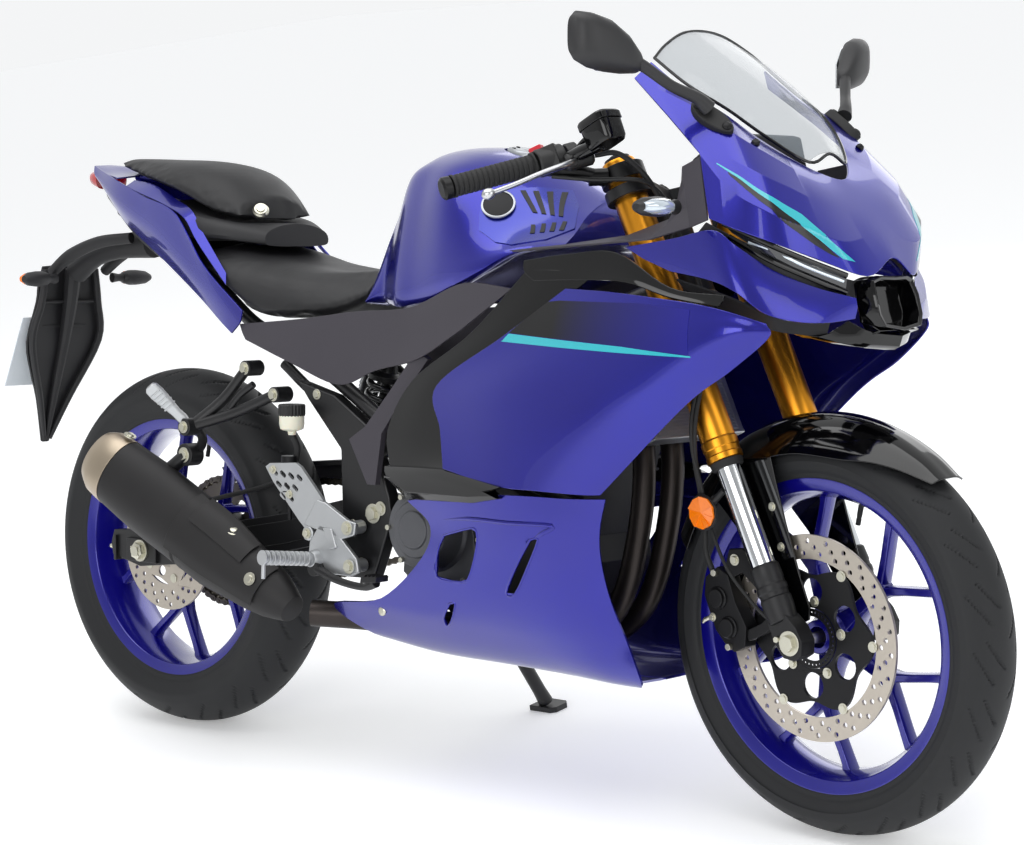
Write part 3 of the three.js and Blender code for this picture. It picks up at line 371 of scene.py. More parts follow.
def spoke(hub_radius, half_depth):
    """One split spoke along +X: a stem, then two arms that meet the rim."""
    def bar(path, widths, depths):
        rings = []
        for (x, z), wide, deep in zip(path, widths, depths):
            section = [(-1, -0.55), (-0.72, -1), (0.72, -1), (1, -0.55), (1, 0.55), (0.72, 1), (-0.72, 1),
                       (-1, 0.55)]
            rings.append([(x, v * deep, z + u * wide) for u, v in section])
        return loft(rings)
    stem = bar([(hub_radius - 6, 0), (hub_radius + 20, 0), (100, 0), (118, 0)], [19, 13, 12, 15],
               [half_depth, half_depth * 0.8, 13, 12])
    arms = [
        bar([(100, s * 3), (118, s * 10), (140, s * 26), (168, s * 48), (184, s * 60), (194, s * 67)],
            [9, 9, 8.5, 8.5, 9, 14], [12.5, 12, 11.5, 11.5, 12, 13])
        for s in (-1, 1)
    ]
    return merge(stem, *arms)


def wheel_shape(half_width, hub_half, hub_radius):
    rim = lathe([
        (RIM - 12, -half_width + 5), (RIM - 4, -half_width + 3), (RIM, -half_width), (RIM - 3,
                                                                                      -half_width - 3),
        (RIM - 12, -half_width - 2), (RIM - 22, -half_width + 2), (RIM - 26, -half_width + 12),
        (RIM - 33, -16), (RIM - 34, 0), (RIM - 33, 16), (RIM - 26, half_width - 12), (RIM - 22,
                                                                                      half_width - 2),
        (RIM - 12, half_width + 2), (RIM - 3, half_width + 3), (RIM, half_width), (RIM - 4, half_width - 3),
        (RIM - 12, half_width - 5), (RIM - 20, half_width - 14), (RIM - 26, 14), (RIM - 26, -14),
        (RIM - 20, -half_width + 14),
    ], 144)
    hub = lathe([
        (15, -hub_half), (hub_radius * 0.72, -hub_half), (hub_radius * 0.78, -hub_half * 0.7),
        (hub_radius, -hub_half * 0.5), (hub_radius * 0.94, 0), (hub_radius, hub_half * 0.5),
        (hub_radius * 0.78, hub_half * 0.7), (hub_radius * 0.72, hub_half), (15, hub_half),
    ], 48)
    spokes = [spin(spoke(hub_radius, hub_half * 0.5), math.radians(41 + 72 * k)) for k in range(5)]
    return merge(rim, hub, *spokes)


wheel_blue = finish("blue_powder_coat_on_cast_aluminium", "120e84", 0.2, 0.4, grain=1.2, depth=0.02,
                    mottle=0.12, Coat_Weight=0.7, Coat_Roughness=0.12)
make("front_wheel_casting", wheel_shape(41, 50, 34), wheel_blue, "front_wheel_assembly",
     FRONT_WHEEL, ["front_wheel_rim"], bevel=1.6)
make("rear_wheel_casting", wheel_shape(54, 56, 40), wheel_blue, "rear_wheel_assembly",
     REAR_WHEEL, ["rear_wheel_rim"], bevel=1.6)
black_rubber = finish("black_moulded_rubber", "131314", 0.7, grain=0.6, depth=0.03)
for body, space in (("front_wheel_assembly", FRONT_WHEEL), ("rear_wheel_assembly", REAR_WHEEL)):
    valve = spin(merge(
        sweep([(RIM - 34, 0, 0), (RIM - 52, 0, 0), (RIM - 60, 0, 0)], [4.2, 4.0, 3.2]),
        sweep([(RIM - 58, 0, 0), (RIM - 68, 0, 0)], 3.8),
    ), math.radians(77))
    make(body.split("_")[0] + "_valve", valve, black_rubber, body, space, bevel=0.5)

# ---------------------------------------------------------------- brake discs
# Stainless steel rings, ground flat and drilled in three rows. The front ring floats on bobbins round
# a black scalloped carrier, and a slotted ring beside the hub gives the wheel's speed.
def drilled(outline, holes, low, high):
    """Flat plate in the XZ plane with an outline and holes, between two distances from the middle."""
    curve = bpy.data.curves.new("outline", "CURVE")
    curve.dimensions = "2D"
    curve.fill_mode = "BOTH"
    curve.extrude = (high - low) / 2
    for loop in [outline, *holes]:
        spline = curve.splines.new("POLY")
        spline.points.add(len(loop) - 1)
        for point, (x, z) in zip(spline.points, loop):
            point.co = (x, z, 0, 1)
        spline.use_cyclic_u = True
    holder = bpy.data.objects.new("outline", curve)
    mesh = holder.to_mesh()
    middle = (low + high) / 2
    points = [(v.co.x, middle + v.co.z, v.co.y) for v in mesh.vertices]
    faces = [tuple(reversed(p.vertices)) for p in mesh.polygons]
    holder.to_mesh_clear()
    bpy.data.objects.remove(holder)
    bpy.data.curves.remove(curve)
    return points, faces


def ring(x, z, radius, sides=12, wave=0.0, waves=0):
    angles = np.arange(sides) / sides * 2 * math.pi
    return [
        (x + (radius + wave * math.cos(waves * a)) * math.cos(a),
         z + (radius + wave * math.cos(waves * a)) * math.sin(a))
        for a in angles
    ]


def disc_shape(outer, inner, y, thick, rows, count, hole=4.0):
    holes = [ring(0, 0, inner, 120)]
    for k in range(count):
        for row, radius in enumerate(rows):
            angle = 2 * math.pi * (k + row * 0.36) / count
            holes.append(ring(radius * math.cos(angle), radius * math.sin(angle), hole, 10))
    return drilled(ring(0, 0, outer, 144), holes, y - thick / 2, y + thick / 2)


disc_steel = finish("ground_stainless_steel", "b9b1a6", 0.34, 0.9, grain=1.6, depth=0.015, mottle=0.08)
carrier_black = finish("black_anodised_aluminium", "18181a", 0.42, 0.6, grain=0.8, depth=0.01)
zinc = finish("zinc_plated_steel", "c9c7b8", 0.32, 1.0, grain=0.8, depth=0.02, mottle=0.15)


def hex_bolt(x, y, z, size, out=-1, washer=True, length=6):
    """Hexagon head with its washer, facing out along Y."""
    angles = [math.radians(60 * k + 20) for k in range(6)]
    head = loft([[(x + size * math.cos(a), y + d,
                   z + size * math.sin(a)) for a in angles] for d in (0, out * length)])
    shapes = [head]
    if washer:
        shapes.append(loft([[(x + 1.45 * size * math.cos(a), y + d, z + 1.45 * size * math.sin(a))
                             for a in np.arange(20) / 20 * 2 * math.pi] for d in (0, out * 1.6)]))
    return merge(*shapes)


make("front_disc_ring", disc_shape(149, 114, -58, 4.5, (122, 131, 140), 26), disc_steel,
     "front_wheel_assembly",
     FRONT_WHEEL, ["front_brake_disc"], bevel=0.4, segments=1)
make("front_disc_carrier", merge(
    drilled(ring(0, 0, 100, 160, 9, 6), [
        ring(68 * math.cos(a), 68 * math.sin(a), 19, 24) for a in np.radians(np.arange(30, 390, 60))
    ] + [ring(0, 0, 44, 48)], -61, -55),
), carrier_black, "front_wheel_assembly", FRONT_WHEEL, bevel=0.8)
bobbins = [hex_bolt(109 * math.cos(a), -61, 109 * math.sin(a), 5.5,
                    length=3) for a in np.radians(np.arange(0, 360, 60))]
bobbins += [hex_bolt(54 * math.cos(a), -61, 54 * math.sin(a), 5.5,
                     length=5) for a in np.radians(np.arange(12, 372, 72))]
make("front_disc_bobbins", merge(*bobbins), zinc, "front_wheel_assembly", FRONT_WHEEL,
     bevel=0.5)
slots = [ring(38 * math.cos(a), 38 * math.sin(a), 1.6, 8) for a in np.arange(36) / 36 * 2 * math.pi]
make("front_speed_ring", drilled(ring(0, 0, 43, 96), slots + [ring(0, 0, 32, 60)], -62, -60), carrier_black,
     "front_wheel_assembly", FRONT_WHEEL)
make("rear_disc_ring", disc_shape(110, 66, -62, 4.5, (80, 91, 101), 18), disc_steel, "rear_wheel_assembly",
     REAR_WHEEL, ["rear_brake_disc"], bevel=0.4, segments=1)
make("rear_disc_carrier", drilled(ring(0, 0, 64, 120, 6, 5), [
    ring(44 * math.cos(a), 44 * math.sin(a), 9, 20) for a in np.radians(np.arange(36, 396, 72))
] + [ring(0, 0, 24, 36)], -64.5, -60), disc_steel, "rear_wheel_assembly", REAR_WHEEL, bevel=0.6)
make("rear_disc_bolts", merge(*[
    hex_bolt(56 * math.cos(a), -64.5, 56 * math.sin(a), 5.5,
             length=2) for a in np.radians(np.arange(0, 360, 72))
]), zinc, "rear_wheel_assembly", REAR_WHEEL, bevel=0.5)

# ---------------------------------------------------------------- fork
# Upside-down fork: gold anodised outer tubes in two cast yokes, hard-chromed inner tubes, and black
# cast feet that clamp the axle. A rubber dust seal closes each outer tube.
def rod(start, end, radius, sides=24, end_radius=None):
    """Straight round bar between two points."""
    return sweep([start, end], [radius, radius if end_radius is None else end_radius], sides)


def turned_on(start, end, profile, sides=40):
    """Body turned about the line from start to end. The profile is [(share along, radius)]."""
    a, b = Vector(start), Vector(end)
    side = (b - a).orthogonal().normalized()
    other = (b - a).normalized().cross(side)
    return loft([[a + (b - a) * t + r * (math.cos(w) * side + math.sin(w) * other)
                  for w in np.arange(sides) / sides * 2 * math.pi] for t, r in profile])


def on_axis(x, y, profile, sides=40):
    """Body turned about a line beside the steering axis. The profile is [(height, radius)]."""
    return loft([[(x + r * math.cos(w), y + r * math.sin(w), s)
                  for w in np.arange(sides) / sides * 2 * math.pi] for s, r in profile])


gold = finish("gold_anodised_aluminium", "d9922a", 0.3, 1.0, grain=1.0, depth=0.012, mottle=0.05)
chrome = finish("hard_chrome_on_steel", "d9dcdf", 0.1, 1.0, grain=1.5, depth=0.004, mottle=0.02)
cast_black = finish("black_paint_on_cast_aluminium", "161618", 0.45, 0.3, grain=1.4, depth=0.05, mottle=0.15)
FORK_SIDE = 97
outers, inners, seals, feet = [], [], [], []
for side in (-1, 1):
    outers.append(on_axis(30, side * FORK_SIDE, [
        (585, 24.5), (586, 26.8), (594, 27.4), (595, 26.3), (603, 26.3), (604, 27.4), (616, 27.4), (618,
                                                                                                    25.6),
        (619, 25.6), (621, 26.0), (1056, 26.0), (1060, 24.5),
    ], 48))
    seals.append(on_axis(30, side * FORK_SIDE, [(574, 20), (575, 23.5), (584, 24.8), (585.5, 24.0)], 40))
    inners.append(on_axis(30, side * FORK_SIDE, [(400, 18.4), (576, 18.4)], 48))
    feet.append(on_axis(30, side * FORK_SIDE, [
        (338, 17), (340, 21), (360, 23), (374, 23), (376, 21.5), (382, 21.5), (384, 23), (392, 23), (394,
                                                                                                     21.5),
        (400, 21.5), (402, 22.5), (422, 21.5), (425, 19),
    ], 40))
    foot = [(12, 345), (48, 345), (58, 322), (60, 300), (50, 282), (34, 280), (18, 290), (12, 312)]
    feet.append(loft([[(x, side * y, s) for x, s in foot] for y in (82, 112)]))
fork_axle = rod((AXLE_AHEAD, -118, AXLE_UP), (AXLE_AHEAD, 114, AXLE_UP), 8.5, 32)
caps = [on_axis(30, side * FORK_SIDE, [(1059, 19), (1060, 20), (1066, 19.5), (1067, 12), (1070, 11),
                                       (1071, 8)], 32)
        for side in (-1, 1)]


def yoke_outline(depth, cheek):
    """Half-round ends round both tubes, joined behind by a waisted bridge."""
    right = [(30 + cheek * math.cos(a), -FORK_SIDE + cheek * math.sin(a))
             for a in np.radians(np.linspace(-170, 20, 14))]
    left = [(30 + cheek * math.cos(a), FORK_SIDE + cheek * math.sin(a))
            for a in np.radians(np.linspace(-20, 170, 14))]
    return right + [(22, 0)] + left + [(-depth, 22), (-depth, -22)]


yokes = [
    loft([[(x, y, s) for x, y in yoke_outline(26, 36)] for s in (low, high)])
    for low, high in ((790, 820), (1000, 1018))
]
make("fork_outer_tubes", merge(*outers), gold, "front_fork", FORK, ["fork_upper"], bevel=0.5)
make("fork_yokes", merge(*yokes, on_axis(0, 0, [(795, 13.8), (1018, 13.8)]), on_axis(0, 0, [
    (1018, 20), (1024, 20), (1026, 16), (1031, 14)], 6)),
     cast_black, "front_fork", FORK, bevel=2)
make("fork_inner_tubes", merge(*inners), chrome, "front_fork", FORK, ["fork_lowers"])
make("fork_seals", merge(*seals), black_rubber, "front_fork", FORK, bevel=0.6)
make("fork_feet", merge(*feet), cast_black, "front_fork", FORK, bevel=2.2)
make("front_axle", merge(
    fork_axle,
    hex_bolt(AXLE_AHEAD, -112, AXLE_UP, 12.5, length=9),
    hex_bolt(20, -112, 318, 5, length=5, washer=False),
), zinc, "front_fork", FORK, bevel=0.8)
make("fork_caps", merge(*caps), cast_black, "front_fork", FORK, bevel=0.8)

# ---------------------------------------------------------------- front brake
# Two-piston sliding caliper, cast in aluminium and anodised black, on a bracket behind the right
# foot. A braided hose and the speed sensor's cable run up from it, past a round amber reflector.
def plate(outline, near, far):
    """Flat-faced body with an outline in side view, between two distances from the middle."""
    return loft([[(x, y, z) for x, z in outline] for y in (near, far)])


caliper_body = plate([(-96, 348), (-104, 372), (-102, 424), (-88, 448), (-60, 454), (-46, 436), (-50, 396),
                      (-46, 356), (-62, 330), (-84, 330)], -92, -66)
caliper_inner = plate([(-92, 352), (-98, 376), (-96, 420), (-84, 440), (-62, 446), (-52, 430), (-56, 396),
                       (-52, 360), (-66, 338), (-82, 338)], -50.5, -42)
pistons = [
    turned_on((-78, -90, s), (-78, -100, s), [(0, 17), (0.4, 17), (0.55, 14.5), (1, 13.5)],
              32) for s in (366, 412)
]
caliper_bridge = merge(
    plate([(-106, 356), (-104, 372), (-92, 372), (-94, 352)], -70, -46),
    plate([(-106, 404), (-104, 420), (-92, 420), (-94, 400)], -70, -46),
)
bracket = plate([(-52, 446), (-30, 470), (-6, 462), (14, 420), (12, 392), (-2, 392), (-22, 430),
                 (-46, 430)], -88, -76)
bracket_low = plate([(-54, 352), (-20, 352), (14, 362), (14, 344), (-20, 336), (-54, 336)], -88, -76)
make("front_caliper", merge(caliper_body, caliper_inner, caliper_bridge, bracket, bracket_low, *pistons),
     carrier_black, "front_fork", FORK, ["front_brake_caliper"], bevel=2.4, segments=3)
make("front_caliper_pins", merge(
    rod((-66, -98, 447), (-66, -62, 447), 5), rod((-88, -98, 340), (-88, -62, 340), 5),
    hex_bolt(-26, -88, 452, 6, length=5), hex_bolt(-100, -92, 390, 4.5, length=5),
    sweep([(-104, -86, 392), (-118, -90, 392), (-124, -90, 390)], [3.6, 3.4, 2.6], 12),
), zinc, "front_fork", FORK, bevel=0.5)
brake_hose = sweep([(-70, -92, 452), (-62, -100, 480), (-42, -102, 520), (-22, -112, 562), (8, -132, 606),
                    (36, -134, 655), (62, -116, 710), (70, -84, 770), (66, -62, 840), (64, -62, 910),
                    (72, -84, 975), (78, -108, 1020), (70, -136, 1056), (46, -158, 1066)], 4.2, 12, 6)
sensor_cable = sweep([(40, -86, 318), (14, -108, 350), (-10, -112, 400), (-26, -112, 450), (-30, -108, 520),
                      (-14, -116, 565), (12, -138, 612), (38, -141, 660), (66, -120, 715), (76, -86, 772)],
                     2.6, 10, 6)
make("front_brake_hose", merge(brake_hose, sensor_cable), black_rubber, "front_fork", FORK)
# Amber acrylic with a painted glow: its emission makes the reflector shine though it is no lamp, and the rear
# indicator lenses share the same glow.
amber_with_painted_glow = finish("amber_moulded_acrylic_with_painted_glow", "e8760c", 0.12, grain=2.5, depth=0.12, mottle=0.1, Coat_Weight=0.6,
               Emission_Color=linear("e8760c"), Emission_Strength=0.12)
REFLECTOR = Vector((-27, -120, 529))
petals = []
for k in range(10):
    a0, a1 = math.radians(36 * k), math.radians(36 * (k + 1))
    lift = -4.2 if k % 2 else -2.4
    petals.append(loft([
        [REFLECTOR + Vector((0, -2.2, 0)), REFLECTOR + Vector((24 * math.cos(a0), -1.4, 24 * math.sin(a0))),
         REFLECTOR + Vector((24 * math.cos(a1), lift, 24 * math.sin(a1)))],
        [REFLECTOR, REFLECTOR + Vector((24 * math.cos(a0), 2, 24 * math.sin(a0))),
         REFLECTOR + Vector((24 * math.cos(a1), 2, 24 * math.sin(a1)))],
    ]))
make("front_reflector", merge(*petals), amber_with_painted_glow, "front_fork", FORK, turn_out=False)
make("front_reflector_holder", merge(
    turned_on(REFLECTOR + Vector((0, 0.5, 0)), REFLECTOR + Vector((0, 6, 0)),
              [(0, 26.5), (0.5, 27), (1, 24)], 40),
    rod(REFLECTOR + Vector((0, 4, 0)), (20, -112, 545), 5, 12),
), cast_black, "front_fork", FORK, bevel=0.8)

# ---------------------------------------------------------------- front mudguard
# Injection-moulded ABS in gloss black: a slim beaked hood over the tyre, with a flank down inside
# each fork leg that two bolts hold.
def surface(grid, thickness, rows=6, columns=6, inside=(200, 0, 600)):
    """Closed sheet of even thickness. The grid is its outer face."""
    lines = [smooth(row, columns) for row in grid]
    fine = np.stack([smooth([line[i] for line in lines], rows) for i in range(len(lines[0]))], 1)
    down = np.gradient(fine, axis=0)
    along = np.gradient(fine, axis=1)
    normal = np.cross(down, along)
    normal /= np.maximum(np.linalg.norm(normal, axis=2, keepdims=True), 1e-9)
    middle = (fine.shape[0] // 2, fine.shape[1] // 2)
    outward = np.dot(normal[middle], fine[middle] - np.array(inside))
    normal *= 1 if outward > 0 else -1
    height, width = fine.shape[:2]
    points = np.concatenate([fine.reshape(-1, 3), (fine - normal * thickness).reshape(-1, 3)])
    count = height * width
    faces = strip_faces(height, width)
    faces += [tuple(reversed([count + i for i in face])) for face in faces]
    edge = [i for i in range(width)]
    edge += [j * width + width - 1 for j in range(1, height)]
    edge += [(height - 1) * width + i for i in range(width - 2, -1, -1)]
    edge += [j * width for j in range(height - 2, 0, -1)]
    for i, a in enumerate(edge):
        b = edge[(i + 1) % len(edge)]
        faces.append((b, a, count + a, count + b))
    return points.tolist(), faces


gloss_black = finish("gloss_black_abs", "030304", 0.07, grain=3.0, depth=0.006, mottle=0.05,
                     Specular_IOR_Level=0.35,
                     Coat_Weight=0.25, Coat_Roughness=0.03)
hood_rows = []
HOOD_ENDS = (math.radians(50) - RAKE, math.radians(155) - RAKE)
for k in range(13):
    t = k / 12
    angle = HOOD_ENDS[0] + t * (HOOD_ENDS[1] - HOOD_ENDS[0])
    lift = 18 + 8 * math.sin(math.pi * t)
    beak = min(t / 0.28, 1)
    half = (36 + 34 * beak ** 0.7) if t < 0.5 else 70 - 6 * (t - 0.5)
    row = []
    for w in (-1, -0.86, -0.6, -0.3, 0, 0.3, 0.6, 0.86, 1):
        drop = (46 * beak + 8) * abs(w) ** 2.4
        crease = 2.5 * math.exp(-((abs(w) - 0.45) / 0.12) ** 2)
        size = 293 + lift - drop + crease
        row.append((AXLE_AHEAD + size * math.cos(angle), half * w, AXLE_UP + size * math.sin(angle)))
    hood_rows.append(row)
hood = surface(hood_rows, 3.2, 5, 4, (AXLE_AHEAD, 0, AXLE_UP))
flank_outline = [(-40, 556), (-10, 576), (40, 582), (88, 566), (80, 520), (72, 470), (64, 400), (60, 345),
                 (52, 330),
                 (22, 330), (16, 360), (6, 410), (-8, 470), (-26, 520)]
flank = plate(flank_outline, 67, 70.6)
make("front_mudguard", merge(hood, flank, flip(flank)), gloss_black, "front_fork", FORK,
     ["front_fender"], bevel=1.2, smooth_angle=45)
make("front_mudguard_bolts", merge(*[
    hex_bolt(x, side * 70.6, s, 4.6, out=side, length=4)
    for side in (-1, 1) for x, s in ((60, 500), (50, 442))
]), zinc, "front_fork", FORK, bevel=0.5)

# ---------------------------------------------------------------- painted side panels
# ABS panels in metallic blue lacquer over a violet base: side panels, belly panels, nose and cheeks.
# Flakes in the base coat make the colour run from violet to bright blue.
lacquer = new_material("metallic_blue_lacquer_on_abs")
tree = lacquer.node_tree
place = node(tree, "ShaderNodeTexCoord")
flakes = node(tree, "ShaderNodeTexVoronoi", {"Vector": place.outputs["Object"]}, Scale=900.0)
cloud = node(tree, "ShaderNodeTexNoise", {"Vector": place.outputs["Object"]}, Scale=3.0, Detail=2.0)
flake_tone = node(tree, "ShaderNodeMapRange", {"Value": flakes.outputs["Distance"]}, To_Min=0.92, To_Max=1.12)
hue = node(tree, "ShaderNodeMix", {"Factor": cloud.outputs["Fac"]}, data_type="RGBA")
hue.inputs["A"].default_value = linear("1b117c")
hue.inputs["B"].default_value = linear("141b98")
toned = node(tree, "ShaderNodeVectorMath", {"Vector": hue.outputs["Result"],
                                            "Scale": flake_tone.outputs["Result"]},
             operation="SCALE")
lacquer_bsdf = node(tree, "ShaderNodeBsdfPrincipled", {"Base Color": toned.outputs["Vector"]}, Metallic=0.72,
                    Roughness=0.27, Coat_Weight=0.7, Coat_Roughness=0.04)
node(tree, "ShaderNodeOutputMaterial", {"Surface": lacquer_bsdf.outputs["BSDF"]})

SIDE_PANEL = [
    [(349, 212, 786), (438, 225, 783), (528, 235, 776), (606, 237, 768), (661, 228, 757), (702, 205, 742)],
    [(236, 222, 714), (367, 240, 712), (484, 248, 715), (590, 248, 721), (666, 235, 726), (703, 200, 722)],
    [(93, 212, 635), (256, 245, 636), (398, 255, 642), (523, 252, 654), (600, 238, 674), (646, 212, 674)],
    [(115, 228, 570), (261, 252, 578), (381, 258, 584), (467, 250, 595), (527, 235, 611), (570, 215, 623)],
    [(130, 238, 512), (244, 252, 494), (325, 254, 492), (380, 245, 490), (408, 234, 489), (424, 222, 489)],
]
BELLY_PANEL = [
    [(42, 222, 457), (150, 240, 472), (242, 247, 480), (311, 243, 482), (375, 235, 482), (433, 222, 484)],
    [(83, 215, 420), (159, 228, 425), (236, 236, 431), (313, 235, 433), (374, 228, 438), (418, 216, 440)],
    [(54, 205, 366), (136, 215, 370), (233, 222, 374), (321, 222, 380), (378, 214, 388), (411, 205, 394)],
    [(-60, 176, 292), (80, 195, 304), (200, 205, 310), (310, 205, 314), (380, 198, 324), (415, 188, 334)],
    [(-190, 150, 268), (20, 172, 264), (160, 175, 261), (280, 176, 259), (380, 177, 262), (440, 178, 269)],
    [(-125, 124, 224), (5, 118, 209), (140, 118, 206), (261, 122, 204), (386, 152, 206), (466, 178, 213)],
    [(-60, 60, 202), (5, 50, 196), (140, 40, 192), (261, 40, 190), (360, 64, 192), (402, 104, 198)],
    [(-50, 3, 198), (5, 3, 192), (140, 3, 188), (261, 3, 186), (340, 3, 186), (370, 3, 188)],
]
side_shape = surface(SIDE_PANEL, 3.5, 8, 8)
make("side_panel_left", side_shape, lacquer, "chassis", stands_for=["side_fairing_left"],
     bevel=1.2,
     smooth_angle=50)
make("side_panel_right", flip(side_shape), lacquer, "chassis",
     stands_for=["side_fairing_right"],
     bevel=1.2, smooth_angle=50)
belly_shape = surface(BELLY_PANEL, 3.5, 6, 8)
make("belly_panel_right", flip(belly_shape), lacquer, "chassis",
     stands_for=["lower_fairing_right"],
     bevel=1.2, smooth_angle=50)
kept = [i for i, p in enumerate(belly_shape[0]) if p[0] > -42]
order = {old: new for new, old in enumerate(kept)}
belly_left = (
    [belly_shape[0][i] for i in kept],
    [tuple(order[i] for i in face) for face in belly_shape[1] if all(i in order for i in face)],
)
make("belly_panel_left", belly_left, lacquer, "chassis", stands_for=["lower_fairing_left"],
     smooth_angle=50)

# ---------------------------------------------------------------- nose
# The upper cowl and the two cheeks under the lamps are painted like the side panels. The windscreen
# is clear acrylic with a black printed rim.
COWL_SIDE = [
    [(449, 140, 1112), (438, 165, 1088), (514, 183, 1031), (579, 195, 976), (614, 220, 886)],
    [(505, 135, 1072), (558, 160, 1037), (601, 182, 980), (637, 200, 924), (653, 215, 872)],
    [(566, 122, 1036), (612, 150, 1001), (657, 172, 951), (693, 185, 893), (702, 180, 850)],
    [(613, 98, 998), (651, 122, 973), (690, 140, 930), (722, 150, 875), (733, 130, 830)],
    [(660, 52, 960), (686, 70, 941), (717, 85, 906), (752, 92, 854), (770, 58, 806)],
    [(684, 0, 942), (697, 0, 928), (719, 0, 903), (750, 0, 865), (773, 0, 832)],
]
cowl_grid = COWL_SIDE + [[(x, -y, z) for x, y, z in row] for row in reversed(COWL_SIDE[:-1])]
make("upper_cowl_shell", surface(cowl_grid, 3.5, 6, 1, (500, 0, 850)), lacquer, "chassis",
     stands_for=["upper_cowl"], bevel=1.2, smooth_angle=13)
CHEEK = [
    [(451, 202, 846), (545, 214, 858), (619, 220, 870), (655, 214, 850), (692, 178, 816), (728, 128, 792),
     (762, 75, 776)],
    [(486, 206, 830), (590, 222, 830), (645, 228, 826), (680, 216, 806), (712, 180, 788), (744, 130, 768),
     (764, 74, 762)],
    [(540, 212, 812), (620, 224, 800), (668, 228, 784), (700, 206, 756), (728, 168, 744), (746, 120, 742),
     (756, 68, 746)],
]
cheek_shape = surface(CHEEK, 3.5, 1, 6, (550, 0, 800))
make("cheek_left", cheek_shape, lacquer, "chassis", stands_for=["headlight_cowl_left"], bevel=1,
     smooth_angle=13)
make("cheek_right", flip(cheek_shape), lacquer, "chassis", stands_for=["headlight_cowl_right"],
     bevel=1, smooth_angle=50)
SCREEN_HALF = [
    [(452, 136, 1117), (444, 100, 1138), (437, 50, 1158)],
    [(508, 131, 1077), (502, 92, 1106), (498, 46, 1120)],
    [(568, 117, 1041), (566, 80, 1064), (566, 40, 1074)],
    [(616, 92, 1003), (618, 64, 1020), (620, 32, 1028)],
    [(660, 46, 966), (662, 34, 974), (664, 18, 980)],
]
SCREEN_MIDDLE = [(435, 0, 1164), (497, 0, 1124), (566, 0, 1077), (621, 0, 1030), (666, 0, 982)]
screen_grid = [
    row + [SCREEN_MIDDLE[i]] + [(x, -y, z) for x, y, z in reversed(row)] for i, row in enumerate(SCREEN_HALF)
]
acrylic = new_material("clear_acrylic_sheet")
tree = acrylic.node_tree
place = node(tree, "ShaderNodeTexCoord")
dust = node(tree, "ShaderNodeTexNoise", {"Vector": place.outputs["Object"]}, Scale=60.0, Detail=3.0)
haze = node(tree, "ShaderNodeMapRange", {"Value": dust.outputs["Fac"]}, To_Min=0.02, To_Max=0.07)
glassy = node(tree, "ShaderNodeBsdfPrincipled", {"Roughness": haze.outputs["Result"]}, IOR=1.49,
              Base_Color=linear("8d959b"), Alpha=0.3, Specular_IOR_Level=0.3)
node(tree, "ShaderNodeOutputMaterial", {"Surface": glassy.outputs["BSDF"]})
make("windscreen_sheet", surface(screen_grid, 2.6, 6, 5, (500, 0, 850)), acrylic, "chassis",
     stands_for=["windscreen"], smooth_angle=60)
rim_line = [row[0] for row in screen_grid] + [(664, 0, 979)] + [row[-1] for row in reversed(screen_grid)]
rim_top = [screen_grid[0][i] for i in range(len(screen_grid[0]))]
make("windscreen_rim", merge(sweep(rim_line, 2.4, 8, 6), sweep(rim_top, 2.2, 8, 6)), gloss_black, "chassis")

# ---------------------------------------------------------------- headlamps and intake
# Slit lamps under the nose: a black bezel round a dark housing and a clear light guide. Between the
# cheeks is the gloss black mouth of the air intake, with a vane across it.
LAMP = [
    [(634, 206, 874), (690, 184, 846), (722, 138, 824), (752, 84, 802)],
    [(640, 202, 866), (686, 178, 834), (720, 132, 810), (748, 80, 788)],
]
lamp_body = surface(LAMP, 16, 6, 8, (600, 0, 800))
lens = finish("clear_moulded_polycarbonate", "c8d2da", 0.06, 0.55, grain=4, depth=0.05, Coat_Weight=1.0)
lamp_glass = finish("black_lamp_housing_behind_clear_lens", "1b1e23", 0.05, grain=5, depth=0.03,
                    Coat_Weight=1.0)
make("headlamp_left", lamp_body, lamp_glass, "chassis", stands_for=["headlight_left"], bevel=1)
make("headlamp_right", flip(lamp_body), lamp_glass, "chassis", stands_for=["headlight_right"],
     bevel=1)
lamp_line = [(630, 208, 879), (690, 186, 851), (722, 141, 829), (753, 86, 807)]
lamp_under = [(636, 203, 861), (686, 178, 829), (720, 132, 805), (748, 80, 783)]
for suffix, turn in DRAWN_LEFT:
    make(f"headlamp_bezel_{suffix}", turn(merge(sweep(lamp_line, 4.0, 10, 8), sweep(lamp_under, 4.0, 10, 8))),
         gloss_black, "chassis")
guide = sweep([(662, 193, 853), (690, 179, 843), (721, 137, 819), (748, 87, 799)], 2.4, 8, 6)
for suffix, turn in DRAWN_LEFT:
    make(f"lamp_light_guide_{suffix}", turn(guide), lens, "chassis")
intake = merge(
    plate([(748, 796), (764, 806), (770, 800), (758, 790)], -46, 46),
    plate([(752, 742), (764, 722), (786, 730), (770, 738)], -50, 50),
    plate([(746, 796), (752, 796), (756, 740), (750, 740)], -50, 50),
)
make("air_intake", intake, gloss_black, "chassis", stands_for=["intake_duct"], bevel=1.5)

# ---------------------------------------------------------------- tank
# Pressed steel tank under a painted cover. Its knees are waisted at the seat, its shoulders spread
# over the rider's knees, and its front is cut back to clear the fork and the bars.
def smooth_ring(points, steps):
    """Closed Catmull-Rom curve."""
    p = [tuple(q) for q in points]
    wrapped = smooth([p[-1], *p, p[0], p[1]], steps)
    return wrapped[steps:steps * (len(p) + 1)]


def hull_of(sections, around=4, along=5):
    """Smooth body through half outlines of (y, z), each from the top middle to the bottom middle."""
    rings = []
    for x, half in sections:
        left = [(x, y, z) for y, z in half]
        right = [(x, -y, z) for y, z in reversed(half[1:-1])]
        rings.append(smooth_ring(left + right, around))
    lines = np.stack([smooth([r[i] for r in rings], along) for i in range(len(rings[0]))], 1)
    return loft(lines.tolist())


